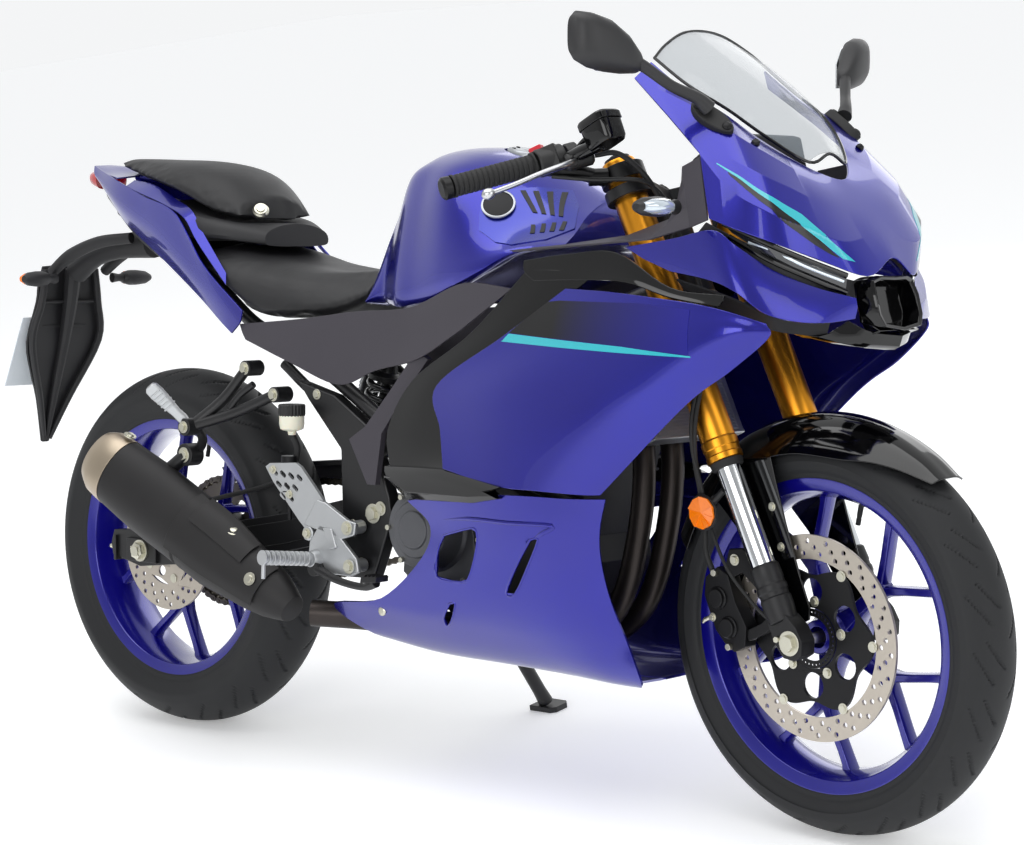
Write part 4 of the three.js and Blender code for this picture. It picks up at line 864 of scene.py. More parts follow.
def sliced(shape, point, normal):
    """The shape without what lies beyond a plane, closed where it is cut."""
    mesh = bpy.data.meshes.new("sliced")
    mesh.from_pydata(shape[0], [], shape[1])
    work = bmesh.new()
    work.from_mesh(mesh)
    everything = work.verts[:] + work.edges[:] + work.faces[:]
    cut = bmesh.ops.bisect_plane(work, geom=everything, plane_co=point, plane_no=normal, clear_outer=True)
    edges = [e for e in cut["geom_cut"] if isinstance(e, bmesh.types.BMEdge)]
    bmesh.ops.holes_fill(work, edges=edges)
    work.verts.index_update()
    made = [tuple(v.co) for v in work.verts], [tuple(v.index for v in f.verts) for f in work.faces]
    work.free()
    bpy.data.meshes.remove(mesh)
    return made


def carve(piece, shape, space=BIKE):
    """Cuts a shape out of a piece, for a pocket or an opening."""
    mesh = bpy.data.meshes.new("carver")
    mesh.from_pydata([(x * MM, y * MM, z * MM) for x, y, z in shape[0]], [], shape[1])
    work = bmesh.new()
    work.from_mesh(mesh)
    bmesh.ops.recalc_face_normals(work, faces=work.faces)
    work.to_mesh(mesh)
    work.free()
    tool = bpy.data.objects.new("carver", mesh)
    tool.matrix_world = space
    bpy.context.scene.collection.objects.link(tool)
    cutter = piece.modifiers.new("cut", "BOOLEAN")
    cutter.object = tool
    cutter.operation = "DIFFERENCE"
    cutter.solver = "EXACT"
    bpy.context.view_layer.objects.active = piece
    bpy.context.view_layer.update()
    while piece.modifiers.find("cut") > 0:
        piece.modifiers.move(piece.modifiers.find("cut"), 0)
    evaluated = piece.evaluated_get(bpy.context.evaluated_depsgraph_get())
    others = [m for m in piece.modifiers if m.name != "cut"]
    for modifier in others:
        modifier.show_viewport = False
    bpy.context.view_layer.update()
    evaluated = piece.evaluated_get(bpy.context.evaluated_depsgraph_get())
    baked = bpy.data.meshes.new_from_object(evaluated)
    piece.modifiers.remove(cutter)
    for modifier in others:
        modifier.show_viewport = True
    piece.data = baked
    bpy.data.objects.remove(tool)


TANK_SECTIONS = [
    (-150, [(0, 775), (60, 772), (100, 764), (114, 755), (60, 750), (0, 750)]),
    (-122, [(0, 880), (60, 872), (96, 838), (116, 762), (60, 748), (0, 748)]),
    (-98, [(0, 945), (58, 936), (96, 880), (122, 765), (70, 752), (0, 752)]),
    (-55, [(0, 984), (78, 970), (118, 930), (144, 760), (80, 762), (0, 762)]),
    (0, [(0, 1000), (96, 984), (140, 930), (158, 766), (90, 772), (0, 772)]),
    (80, [(0, 997), (104, 982), (168, 928), (180, 780), (100, 790), (0, 790)]),
    (160, [(0, 974), (96, 952), (164, 886), (196, 806), (110, 815), (0, 815)]),
    (230, [(0, 940), (84, 916), (140, 874), (190, 836), (110, 838), (0, 838)]),
    (310, [(0, 900), (74, 886), (130, 862), (160, 846), (100, 848), (0, 848)]),
]
behind_fork = STEER_FOOT + Vector((-75.5 * math.cos(RAKE), 0, -75.5 * math.sin(RAKE)))
fork_square = Vector((math.cos(RAKE), 0, math.sin(RAKE)))
tank_shape = sliced(hull_of(TANK_SECTIONS, 6, 8), behind_fork, fork_square)
tank = make("tank_cover", tank_shape, lacquer, "chassis", stands_for=["fuel_tank"],
            smooth_angle=40)
CAP_PLACE = Vector((105, 0, 982))
CAP = BIKE @ Matrix.Translation(CAP_PLACE * MM) @ Matrix.Rotation(math.radians(10), 4, "Y")
carve(tank, loft([[(46.5 * math.cos(a), 46.5 * math.sin(a), z) for a in np.arange(48) / 48 * 2 * math.pi]
                  for z in (-4, 60)]), CAP)
cap_metal = finish("bead_blasted_aluminium", "a9acb0", 0.38, 1.0, grain=0.5, depth=0.02)
make("filler_cap_disc", on_axis(0, 0, [(0, 40), (2, 42), (9, 42), (12.5, 40), (13.5, 37), (12.5, 30),
                                       (12.5, 16),
                                       (13.4, 15), (13.4,
                                                    10)], 64), cap_metal, "filler_cap", CAP,
     ["fuel_cap"], bevel=0.6)
make("filler_cap_screws", merge(*[
    on_axis(33.5 * math.cos(a), 33.5 * math.sin(a), [(12, 3.2), (14.4, 3.2), (14.6, 1.6)], 12)
    for a in np.radians(np.arange(0, 360, 60))
] + [on_axis(0, 0, [(13.2, 7.5), (14.8, 7)], 24)]),
     carrier_black, "filler_cap", CAP, bevel=0.3)

# ---------------------------------------------------------------- seats
# Polyurethane foam under grained black vinyl, pulled over a plastic base. The passenger's pad is a
# hump with a key lock in its front right face.
vinyl = finish("grained_seat_vinyl", "1a1a1c", 0.5, grain=1.6, depth=0.16, mottle=0.14, uneven=0.2,
               Specular_IOR_Level=0.4)


def stuffed(piece, cap, voxel=0.006):
    """Swells a pad as foam does under its cover, by a short cloth simulation under pressure."""
    trial = bpy.data.objects.new("pad_trial", piece.data.copy())
    bpy.context.scene.collection.objects.link(trial)
    trial.matrix_world = piece.matrix_world.copy()
    remesh = trial.modifiers.new("even_mesh", "REMESH")
    remesh.mode = "VOXEL"
    remesh.voxel_size = voxel
    bpy.context.view_layer.update()
    start = bpy.data.meshes.new_from_object(trial.evaluated_get(bpy.context.evaluated_depsgraph_get()))
    trial.modifiers.clear()
    trial.data = start
    before = np.array([v.co for v in start.vertices])
    cloth = trial.modifiers.new("foam", "CLOTH")
    cloth.settings.use_pressure = True
    cloth.settings.uniform_pressure_force = 4
    cloth.settings.effector_weights.gravity = 0
    cloth.settings.quality = 4
    cloth.point_cache.frame_start, cloth.point_cache.frame_end = 1, 20
    scene = bpy.context.scene
    for step in range(1, 21):
        scene.frame_set(step)
    swollen = trial.evaluated_get(bpy.context.evaluated_depsgraph_get()).to_mesh()
    after = np.array([v.co for v in swollen.vertices])
    move = after - before
    size = np.linalg.norm(move, axis=1, keepdims=True)
    after = before + move * np.minimum(1, cap * MM / np.maximum(size, 1e-9))
    scene.frame_set(1)
    trial.modifiers.clear()
    start.vertices.foreach_set("co", after.astype(np.float32).ravel())
    start.materials.clear()
    start.materials.append(piece.data.materials[0])
    start.shade_smooth()
    piece.data = start
    bpy.data.objects.remove(trial)
    finer = piece.modifiers.new("subdivision", "SUBSURF")
    finer.levels = finer.render_levels = 1


RIDER_PAD = [
    (-532, [(0, 850), (70, 848), (112, 840), (118, 830), (70, 824), (0, 822)]),
    (-460, [(0, 832), (80, 832), (130, 815), (142, 784), (80, 780), (0, 780)]),
    (-380, [(0, 811), (84, 812), (132, 794), (146, 742), (80, 738), (0, 738)]),
    (-280, [(0, 799), (76, 800), (120, 784), (140, 736), (80, 732), (0, 732)]),
    (-210, [(0, 801), (60, 800), (96, 786), (122, 746), (70, 740), (0, 740)]),
    (-160, [(0, 806), (46, 804), (76, 794), (96, 770), (50, 766), (0, 766)]),
]
PILLION_PAD = [
    (-828, [(0, 996), (26, 995), (42, 991), (47, 986), (26, 984), (0, 984)]),
    (-720, [(0, 992), (50, 988), (76, 977), (84, 966), (46, 960), (0, 960)]),
    (-610, [(0, 986), (60, 980), (98, 961), (108, 940), (60, 932), (0, 932)]),
    (-530, [(0, 966), (60, 958), (98, 929), (106, 907), (60, 902), (0, 902)]),
    (-474, [(0, 922), (50, 915), (78, 898), (86, 891), (50, 888), (0, 888)]),
]
rider_pad = make("rider_pad", hull_of(RIDER_PAD, 4, 6), vinyl, "chassis",
                 stands_for=["rider_seat"],
                 smooth_angle=60)
pillion_pad = make("pillion_pad", hull_of(PILLION_PAD, 4, 6), vinyl, "chassis",
                   stands_for=["pillion_seat"], smooth_angle=60)
stuffed(rider_pad, 4)
stuffed(pillion_pad, 4)
grained_black = finish("grained_black_polypropylene", "17171a", 0.6, grain=0.9, depth=0.06, mottle=0.1)
base_shape = hull_of([
    (-636, [(0, 926), (60, 924), (102, 918), (98, 900), (60, 892), (0, 892)]),
    (-560, [(0, 900), (60, 898), (118, 898), (120, 860), (60, 856), (0, 856)]),
    (-500, [(0, 886), (60, 886), (110, 886), (116, 858), (60, 854), (0, 854)]),
    (-424, [(0, 882), (40, 878), (70, 866), (72, 848), (40, 844), (0, 844)]),
], 4, 5)
make("seat_hump_base", base_shape, grained_black, "chassis", stands_for=["seat_base"])
LOCK = Vector((-458, -52, 903))
make("seat_lock", merge(
    turned_on(LOCK, LOCK + Vector((5, -5, 5)), [(0, 14), (0.4, 14), (0.7, 12), (1, 11)], 32),
    turned_on(LOCK + Vector((4, -4, 4)), LOCK + Vector((6.5, -6.5, 6.5)), [(0, 8.5), (1, 7.5)], 24),
), zinc, "chassis", bevel=0.5)

# ---------------------------------------------------------------- tail
# Painted tail panels over a black undertray, with the lamp between their tips. A moulded arm behind
# carries the plate, the two indicators on rubber stalks, and ends in a pointed flap.
TAIL_PANEL = [
    [(-905, 40, 988), (-800, 84, 962), (-690, 112, 930), (-585, 134, 900), (-500, 148, 814),
     (-394, 157, 738)],
    [(-898, 46, 972), (-795, 84, 922), (-672, 112, 872), (-560, 134, 812), (-474, 148, 764),
     (-402, 156, 718)],
    [(-885, 44, 956), (-780, 74, 884), (-650, 102, 820), (-530, 128, 758), (-465, 142, 720),
     (-428, 150, 700)],
]
tail_shape = surface(TAIL_PANEL, 3.5, 10, 8, (-600, 0, 850))
make("tail_panel_left_side", tail_shape, lacquer, "chassis", stands_for=["tail_panel_left"],
     bevel=1)
make("tail_panel_right_side", flip(tail_shape), lacquer, "chassis",
     stands_for=["tail_panel_right"],
     bevel=1)
tail_top = surface([
    [(-904, y, 990 - abs(y) * 0.05) for y in (-40, -20, 0, 20, 40)],
    [(-850, y * 1.5, 985 - abs(y) * 0.3) for y in (-40, -20, 0, 20, 40)],
    [(-790, y * 2.1, 972 - abs(y) * 0.2) for y in (-40, -20, 0, 20, 40)],
], 3, 5, 4, (-850, 0, 900))
make("tail_top", tail_top, lacquer, "chassis", bevel=0.8)
side_fill = surface([
    [(-760, 92, 948), (-690, 108, 932), (-620, 122, 914), (-560, 134, 892), (-520, 140, 850),
     (-440, 150, 780)],
    [(-760, 70, 960), (-690, 84, 950), (-620, 98, 925), (-560, 116, 905), (-520, 126, 866), (-450, 140, 800)],
], 3, 3, 6, (-600, 0, 700))
make("tail_shelf_left", side_fill, lacquer, "chassis", bevel=0.6)
make("tail_shelf_right", flip(side_fill), lacquer, "chassis", bevel=0.6)
red_acrylic = finish("red_moulded_acrylic", "a50f17", 0.12, grain=3, depth=0.08, Coat_Weight=0.8,
                     Emission_Color=linear("a50f17"), Emission_Strength=0.08)
make("tail_lamp", hull_of([
    (-930, [(0, 978), (20, 978), (30, 970), (28, 958), (20, 954), (0, 954)]),
    (-918, [(0, 978), (24, 977), (34, 970), (32, 955), (22, 950), (0, 950)]),
    (-905, [(0, 976), (24, 976), (36, 970), (34, 952), (24, 946), (0, 946)]),
], 3, 3), red_acrylic, "chassis", stands_for=["tail_light"], bevel=0.8)
undertray = hull_of([
    (-880, [(0, 950), (20, 950), (34, 944), (30, 930), (16, 922), (0, 920)]),
    (-780, [(0, 930), (40, 930), (62, 890), (50, 860), (24, 852), (0, 850)]),
    (-660, [(0, 890), (60, 880), (84, 830), (70, 806), (30, 800), (0, 800)]),
    (-560, [(0, 850), (70, 820), (98, 772), (80, 760), (40, 760), (0, 760)]),
], 3, 4)
make("undertray", undertray, grained_black, "chassis", bevel=0.8)
arm = sweep([(-790, 0, 848), (-880, 0, 842), (-950, 0, 826), (-1006, 0, 795)], [26, 22, 20, 22], 16, 6)
shoulder = merge(
    sweep([(-812, -34, 858), (-880, -52, 850), (-950, -60, 826), (-1000, -62, 796)], [10, 11, 12, 10], 12, 6),
    sweep([(-812, 34, 858), (-880, 52, 850), (-950, 60, 826), (-1000, 62, 796)], [10, 11, 12, 10], 12, 6),
)
flap_rows = [
    [(-1030, -62, 806), (-1031, -30, 808), (-1032, 0, 809), (-1031, 30, 808), (-1030, 62, 806)],
    [(-1034, -70, 772), (-1037, -35, 772), (-1039, 0, 772), (-1037, 35, 772), (-1034, 70, 772)],
    [(-1040, -70, 740), (-1043, -35, 738), (-1045, 0, 738), (-1043, 35, 738), (-1040, 70, 740)],
    [(-1052, -84, 668), (-1054, -42, 668), (-1055, 0, 668), (-1054, 42, 668), (-1052, 84, 668)],
    [(-1070, -62, 612), (-1072, -30, 610), (-1073, 0, 610), (-1072, 30, 610), (-1070, 62, 612)],
    [(-1086, -36, 560), (-1088, -18, 558), (-1089, 0, 558), (-1088, 18, 558), (-1086, 36, 560)],
    [(-1108, -8, 478), (-1108, -4, 477), (-1108, 0, 477), (-1108, 4, 477), (-1108, 8, 478)],
]
flap = surface(flap_rows, 5, 3, 3, (-900, 0, 700))
ribs = [
    sweep([(-1024, s * 58, 800), (-1026, s * 66, 740), (-1040, s * 78, 668), (-1074, s * 34, 560),
           (-1098, s * 6, 482)],
          [7, 7, 7, 6, 4], 10, 5) for s in (-1, 1)
]
spine = sweep([(-1016, 0, 800), (-1026, 0, 740), (-1044, 0, 668), (-1078, 0, 560), (-1100, 0, 482)],
              [16, 14, 11, 8, 4], 10, 5)
ladder = [sweep([(-1030 - 16 * k, -60 + 9 * k, 740 - 44 * k), (-1030 - 16 * k, 60 - 9 * k, 740 - 44 * k)],
                3.4, 8)
          for k in range(5)]
make("plate_arm", merge(arm, shoulder, flap, *ribs, spine, *ladder), grained_black, "chassis",
     stands_for=["rear_fender"], bevel=0.8)
plate_white = finish("painted_aluminium_plate", "dfe6ec", 0.35, grain=3, depth=0.03, mottle=0.02)
make("blank_plate", loft([
    [(-1055, -88, 712), (-1055, 88, 712), (-1053, 88, 712), (-1053, -88, 712)],
    [(-1111, -88, 584), (-1111, 88, 584), (-1109, 88, 584), (-1109, -88, 584)],
]), plate_white, "chassis", stands_for=["number_plate"], bevel=0.4)


def oval(x, y, z, half_length, half_height, sides=24):
    return [(x + half_length * math.cos(a), y, z + half_height * math.sin(a))
            for a in np.arange(sides) / sides * 2 * math.pi]


rear_stalk = merge(
    sweep([(-986, 67, 784), (-984, 80, 784), (-982, 92, 784)], [9.5, 7, 8], 20, 3),
    loft([oval(-982, 88, 784, 9, 7.5), oval(-981, 92, 784, 14, 11), oval(-980, 104, 784, 17, 14),
          oval(-978, 118, 784, 17, 14), oval(-976, 136, 784, 15, 12), oval(-974, 148, 784, 7, 6)]),
)
rear_lens = loft([oval(-990, 100, 784, 8, 12), oval(-988, 118, 784, 9.5, 12.5), oval(-986, 137, 784, 8, 10),
                  oval(-984, 147, 784, 4, 5)])
for suffix, turn in DRAWN_LEFT:
    make(f"rear_indicator_body_{suffix}", turn(rear_stalk), grained_black, "chassis",
         stands_for=[f"rear_indicator_{suffix}"], bevel=0.6)
    make(f"rear_indicator_lens_{suffix}", turn(rear_lens), amber_with_painted_glow, "chassis")

# ---------------------------------------------------------------- side covers and scoops
# Grained dark grey covers hang from the seat rail, with a strip that runs down the frame. Gloss black
# scoops and strips fill the gap between them and the side panels.
SIDE_COVER = [
    [(-410, 148, 716), (-255, 158, 728), (-130, 161, 742), (0, 169, 752), (130, 194, 790), (236, 200, 784)],
    [(-404, 148, 702), (-270, 157, 690), (-150, 159, 690), (-20, 169, 705), (90, 184, 740), (180, 196, 752)],
    [(-396, 148, 690), (-287, 153, 656), (-173, 156, 624), (-84, 162, 650), (22, 178, 672), (120, 190, 718)],
]
grained_grey = finish("grained_dark_grey_polypropylene", "37343b", 0.55, grain=1.1, depth=0.07, mottle=0.1,
                      Specular_IOR_Level=0.4)
strip = plate([(14, 684), (40, 672), (-14, 610), (-60, 552), (-74, 470), (-92, 470), (-132, 540), (-96, 562),
               (-40, 622)], 161, 173)
cover = merge(surface(SIDE_COVER, 3.5, 8, 8), strip)
SCOOP = [
    [(262, 204, 826), (351, 206, 836), (440, 206, 838), (540, 212, 790), (640, 218, 780)],
    [(264, 206, 810), (360, 208, 816), (450, 210, 812), (540, 214, 782), (636, 218, 772)],
    [(284, 208, 796), (370, 210, 798), (460, 214, 796), (545, 218, 776), (630, 220, 764)],
]
STRIP = [
    [(270, 206, 812), (330, 208, 812), (400, 208, 806)],
    [(150, 197, 716), (200, 202, 716), (250, 204, 710)],
    [(20, 186, 640), (60, 192, 634), (110, 196, 630)],
    [(-40, 180, 560), (20, 188, 550), (100, 196, 545)],
    [(-30, 186, 500), (50, 200, 498), (112, 214, 500)],
    [(-24, 206, 490), (60, 226, 490), (118, 238, 492)],
]
scoop = merge(surface(SCOOP, 3.5, 6, 6), surface(STRIP, 3.5, 8, 6))
for suffix, turn in DRAWN_LEFT:
    make(f"seat_side_cover_{suffix}", turn(cover), grained_grey, "chassis",
         stands_for=[f"side_cover_{suffix}"], bevel=1.2)
    make(f"air_scoop_{suffix}", turn(scoop), gloss_black, "chassis",
         stands_for=[f"inner_fairing_{suffix}"], bevel=1, smooth_angle=45)

# ---------------------------------------------------------------- handlebars
# Forged clip-on bars clamped to the fork's outer tubes. Each has a ribbed rubber grip, a switch box,
# a lever on its perch and a bar-end weight. The right one carries the front brake's reservoir.
GRIP_IN = Vector((-14, 222, 1081))
GRIP_OUT = Vector((-74, 338, 1078))


def along_grip(t):
    return GRIP_IN + (GRIP_OUT - GRIP_IN) * t


forged_black = finish("black_anodised_forging", "141415", 0.35, 0.5, grain=0.8, depth=0.012)
switch_black = finish("moulded_black_nylon", "101011", 0.5, grain=1.0, depth=0.05)
clamp = merge(
    sweep([(24, 130, 1037), (6, 172, 1060), tuple(GRIP_IN)], [12, 11, 11], 20, 5),
    loft([[(30 + 35 * math.cos(a), 97 + 35 * math.sin(a), s) for a in np.arange(32) / 32 * 2 * math.pi]
          for s in (1026, 1050)]),
    sweep([(30, 128, 1038), (12, 150, 1046)], 13, 16),
)
rib_profile = [(0, 14.5), (0.01, 18.5), (0.03, 18.5), (0.04, 15)]
for k in range(15):
    start = 0.05 + 0.06 * k
    rib_profile += [(start, 14.9), (start + 0.012, 16.2), (start + 0.045, 16.2), (start + 0.057, 14.9)]
rib_profile += [(0.96, 15.5), (0.97, 17), (1.0, 17)]
grip = turned_on(along_grip(0), along_grip(1), rib_profile, 28)
bar_end = turned_on(along_grip(1.005), along_grip(1.13), [(0, 12), (0.1, 16.5), (0.8, 17), (1, 13)], 28)
switch = merge(
    turned_on(along_grip(-0.36), along_grip(-0.02), [(0, 17), (0.06, 21), (0.94, 21), (1, 19)], 24),
    loft([[(x, y, s) for x, y in ((-26, 186), (8, 180), (20, 206), (-14, 226))] for s in (1066, 1100)]),
)
perch = merge(
    turned_on(along_grip(-0.52), along_grip(-0.38), [(0, 17), (0.1, 18.5), (0.9, 18.5), (1, 17)], 20),
    sweep([(-2, 190, 1078), (18, 188, 1074), (36, 191, 1064)], [9, 8, 8], 14, 4),
)
LEVER_PATH = [(34, 188, 1062), (48, 222, 1052), (34, 262, 1046), (10, 300, 1040), (-14, 330, 1038)]
lever_track = smooth(LEVER_PATH, 6)
lever_rings = []
for i, point in enumerate(lever_track):
    t = i / (len(lever_track) - 1)
    wide, deep = 8.2 - 3.4 * t, 4.6 - 1.0 * t
    lever_rings.append([
        (point[0] + wide * math.cos(a) * 0.85, point[1] + wide * math.cos(a) * 0.5,
         point[2] + deep * math.sin(a))
        for a in np.arange(16) / 16 * 2 * math.pi
    ])
ball_end = turned_on((-8, 326, 1038), (-22, 340, 1038),
                     [(0, 3), (0.15, 6.4), (0.4, 8.2), (0.65, 8.2), (0.88, 5.6), (1, 2)], 20)
lever = merge(loft(lever_rings), ball_end)
lever_silver = finish("cast_aluminium_lever", "c3c4c6", 0.3, 1.0, grain=1.0, depth=0.02)
for suffix, turn in DRAWN_LEFT:
    make(f"clip_on_{suffix}", turn(merge(clamp, bar_end)), forged_black, "front_fork",
         FORK,
         [f"handlebar_{suffix}"], bevel=1)
    make(f"grip_{suffix}", turn(grip), black_rubber, "front_fork", FORK)
    make(f"switch_box_{suffix}", turn(merge(switch, perch)), switch_black, "front_fork",
         FORK,
         bevel=1.6)
    make(f"lever_{suffix}", turn(lever), lever_silver, "front_fork", FORK, bevel=0.6)
red_nylon = finish("red_moulded_nylon", "c4172a", 0.35, grain=1.5, depth=0.02)
make("stop_switch", loft([[(x, y, s) for x, y in ((-26, -204), (-8, -196), (-4, -208), (-22, -216))]
                          for s in (1098, 1110)]), red_nylon, "front_fork", FORK, bevel=1.5)
RESERVOIR = (92, -176)
make("front_reservoir", merge(
    *[loft([[(RESERVOIR[0] + r * math.copysign(abs(math.cos(a)) ** 0.45, math.cos(a)),
              RESERVOIR[1] + r * 0.86 * math.copysign(abs(math.sin(a)) ** 0.45, math.sin(a)), s)
             for a in np.arange(48) / 48 * 2 * math.pi] for r, s in levels])
      for levels in (((23, 1060), (26, 1066), (27, 1092)), ((29, 1092), (29, 1102), (27, 1105)))],
    sweep([(6, -188, 1076), (50, -184, 1070), (84, -180, 1066)], [9, 11, 10], 16, 4),
    sweep([(30, -176, 1082), (60, -178, 1086), (86, -178, 1070)], 4, 10, 5),
), gloss_black, "front_fork", FORK, bevel=1)
make("master_cylinder", merge(
    turned_on((20, -196, 1066), (44, -160, 1066), [(0, 10), (0.1, 13), (0.9, 13), (1, 9)], 24),
    sweep([(-10, -200, 1060), (30, -160, 1034), (76, -106, 1006), (56, -52, 960), (20, -46, 925)], 3.6, 10,
          8),
), switch_black, "front_fork", FORK, bevel=0.8)
make("clutch_cable", merge(
    sweep([(44, 186, 1062), (76, 150, 1060), (84, 104, 1030), (62, 58, 980), (30, 48, 930), (20, 48, 908)],
          3.6, 10, 8),
    sweep([(-10, 200, 1060), (30, 160, 1034), (76, 106, 1006), (56, 52, 960), (20, 46, 925)], 3.6, 10, 8),
), black_rubber, "front_fork", FORK)

# ---------------------------------------------------------------- instruments and mirrors
# A black instrument case with a smoked cover behind the screen. The mirrors are matte black shells on
# cast stalks, each bolted to the nose through a rubber base.
case = loft([
    [(548, -70, 930), (548, 70, 930), (528, 74, 1000), (528, -74, 1000)],
    [(566, -76, 938), (566, 76, 938), (544, 80, 1010), (544, -80, 1010)],
    [(584, -66, 944), (584, 66, 944), (566, 70, 1006), (566, -70, 1006)],
])
make("instrument_case", case, grained_black, "chassis",
     stands_for=["instrument_panel"],
     bevel=4, segments=3)
glass_black = finish("smoked_polycarbonate", "0b0d10", 0.06, grain=3, depth=0.01, Coat_Weight=1.0)
make("instrument_glass", loft([
    [(546, -62, 938), (546, 62, 938), (528, 66, 992), (528, -66, 992)],
    [(543, -62, 937), (543, 62, 937), (525, 66, 991), (525, -66, 991)],
]), glass_black, "chassis", bevel=1.5)
stalk = sweep([(574, 168, 1040), (566, 184, 1054), (545, 214, 1070), (524, 244, 1094), (512, 262, 1106)],
              [12, 9, 8, 8.5, 9], 20, 6)
MIRROR_FOOT = Vector((574, 160, 1024))
BASE_OUT = Vector((0.52, 0.585, 0.62)).normalized()
BASE_LONG = (Vector((0.82, -0.15, -0.55)) - BASE_OUT * BASE_OUT.dot(Vector((0.82, -0.15,
                                                                            -0.55)))).normalized()
BASE_WIDE = BASE_OUT.cross(BASE_LONG)
mirror_base = loft([
    [MIRROR_FOOT + u * 38 * BASE_LONG + v * 15 * BASE_WIDE + d * BASE_OUT for u,
     v in ((math.cos(a), math.sin(a)) for a in np.arange(28) / 28 * 2 * math.pi)]
    for d in (-5, 7, 10)
])
MIRROR_SECTIONS = [
    (246, 512, 1101, 8, 10), (256, 508, 1104, 17, 17), (276, 500, 1115, 25, 29), (300, 491, 1125, 28, 37),
    (326, 484, 1131, 27, 38), (345, 479, 1136, 23, 34), (352, 477, 1137, 16, 26),
]


def mirror_section(y, x, z, deep, high):
    """Shell section: flat behind, where the glass sits, and rounded in front."""
    ringed = []
    for a in np.arange(32) / 32 * 2 * math.pi:
        u = math.cos(a)
        reach = deep if u > 0 else deep * 0.45
        ringed.append((x + reach * u, y, z + high * math.copysign(abs(math.sin(a)) ** 0.6, math.sin(a))))
    return ringed


shell = loft([mirror_section(*s) for s in MIRROR_SECTIONS])
glass = loft([
    [(x - deep * 0.45 - d, y, z + high * 0.86 * s) for y, x, z, deep, high, s in (
        (262, 505, 1107, 22, 22, -1), (300, 491, 1121, 28, 36, -1), (340, 481, 1132, 22, 32, -0.9),
        (345, 479, 1134, 20, 26, 0), (338, 481, 1132, 22, 34, 1), (300, 491, 1121, 28, 36, 1),
        (262, 505, 1107, 22, 22, 1))]
    for d in (-1, 1.2)
])
matte_shell = finish("grained_black_abs", "1b1b1d", 0.5, grain=1.0, depth=0.05, mottle=0.08)
mirror_silver = finish("silvered_mirror_glass", "e4e8ea", 0.03, 1.0, grain=5, depth=0.002)
for suffix, turn in DRAWN_LEFT:
    make(f"mirror_shell_{suffix}", turn(merge(shell, stalk)), matte_shell, "chassis",
         stands_for=[f"mirror_{suffix}"], smooth_angle=55)
    make(f"mirror_base_{suffix}", turn(mirror_base), black_rubber, "chassis", bevel=2.5)
    make(f"mirror_glass_{suffix}", turn(glass), mirror_silver, "chassis", bevel=0.4)
    for k, share in enumerate((-0.72, 0.72)):
        spot = MIRROR_FOOT + share * 38 * BASE_LONG + 9 * BASE_OUT
        bolt = turned_on(spot, spot + 5 * BASE_OUT, [(0, 7), (0.5, 7), (0.8, 5), (1, 2.5)], 20)
        make(f"mirror_bolt_{suffix}_{k + 1}", turn(bolt), carrier_black, "chassis")

# ---------------------------------------------------------------- front indicators
# Clear lamps with a black rim on short rubber stalks, on the inner panels beside the fork.
stem = sweep([(560, 226, 902), (563, 244, 902), (566, 262, 902)], [11, 8, 8], 20, 3)
front_body = loft([oval(566, 256, 902, 9, 7, 28), oval(567, 262, 902, 18, 13, 28),
                   oval(567, 274, 902, 20, 14, 28),
                   oval(566, 300, 902, 19, 13, 28), oval(565, 312, 902, 13, 9, 28), oval(564, 318, 902, 6,
                                                                                         4, 28)])
front_lens = loft([oval(574, 262, 902, 14, 10.5, 28), oval(576, 276, 902, 15, 11.5, 28),
                   oval(575, 300, 902, 14, 10.5, 28), oval(572, 313, 902, 7, 6, 28)])
for suffix, turn in DRAWN_LEFT:
    make(f"front_indicator_body_{suffix}", turn(merge(stem, front_body)), switch_black, "chassis",
         stands_for=[f"front_indicator_{suffix}"], bevel=0.5)
    make(f"front_indicator_lens_{suffix}", turn(front_lens), lens, "chassis")

# ---------------------------------------------------------------- frame
# Diamond frame of welded steel tube in satin black enamel: two spars from the head tube, pressed side
# plates round the swingarm's pivot, and seat rails.
enamel = finish("satin_black_enamel_on_steel", "141416", 0.38, 0.1, grain=1.6, depth=0.03, mottle=0.12)
HEAD_LOW = Vector((785 - 826 * math.sin(RAKE), 0, 826 * math.cos(RAKE)))
HEAD_HIGH = Vector((785 - 990 * math.sin(RAKE), 0, 990 * math.cos(RAKE)))
half_frame = merge(
    sweep([(410, 26, 790), (352, 54, 764), (312, 90, 742), (180, 128, 700), (-20, 134, 620),
           (-110, 134, 540)],
          17, 20, 6),
    sweep([(405, 24, 775), (352, 50, 758), (306, 88, 730), (240, 124, 690), (60, 136, 600), (-90, 134, 520)],
          12, 20, 6),
    sweep([(-100, 128, 570), (-300, 108, 672), (-420, 98, 712), (-520, 86, 770), (-700, 56, 862),
           (-846, 24, 908)],
          12, 20, 6),
    sweep([(-150, 126, 560), (-260, 122, 606), (-330, 122, 652)], 9, 16, 4),
)
side_plate = plate([
    (-277, 627), (-193, 606), (-112, 556), (-70, 449), (-64, 418), (-89, 353), (-105, 316), (-172, 314),
    (-175, 409), (-178, 520), (-251, 596),
], 121, 146)
make("frame_tubes", merge(
    half_frame, flip(half_frame),
    turned_on(HEAD_LOW, HEAD_HIGH, [(0, 30), (0.02, 34), (0.12, 34), (0.14, 31), (0.86, 31), (0.88, 34),
                                    (0.98, 34), (1, 30)], 40),
    rod((-70, -130, 560), (-70, 130, 560), 16), rod((-300, -110, 672), (-300, 110, 672), 12),
    rod((-836, -28, 905), (-836, 28, 905), 12),
), enamel, "chassis", stands_for=["frame"], bevel=1)
plate_bolts = [hex_bolt(x, 146, z, r, out=1, length=4) for x, z, r in (
    (-120, 540, 7), (-88, 430, 8), (-150, 400, 6), (-230, 606, 6), (-130, 340, 6))]
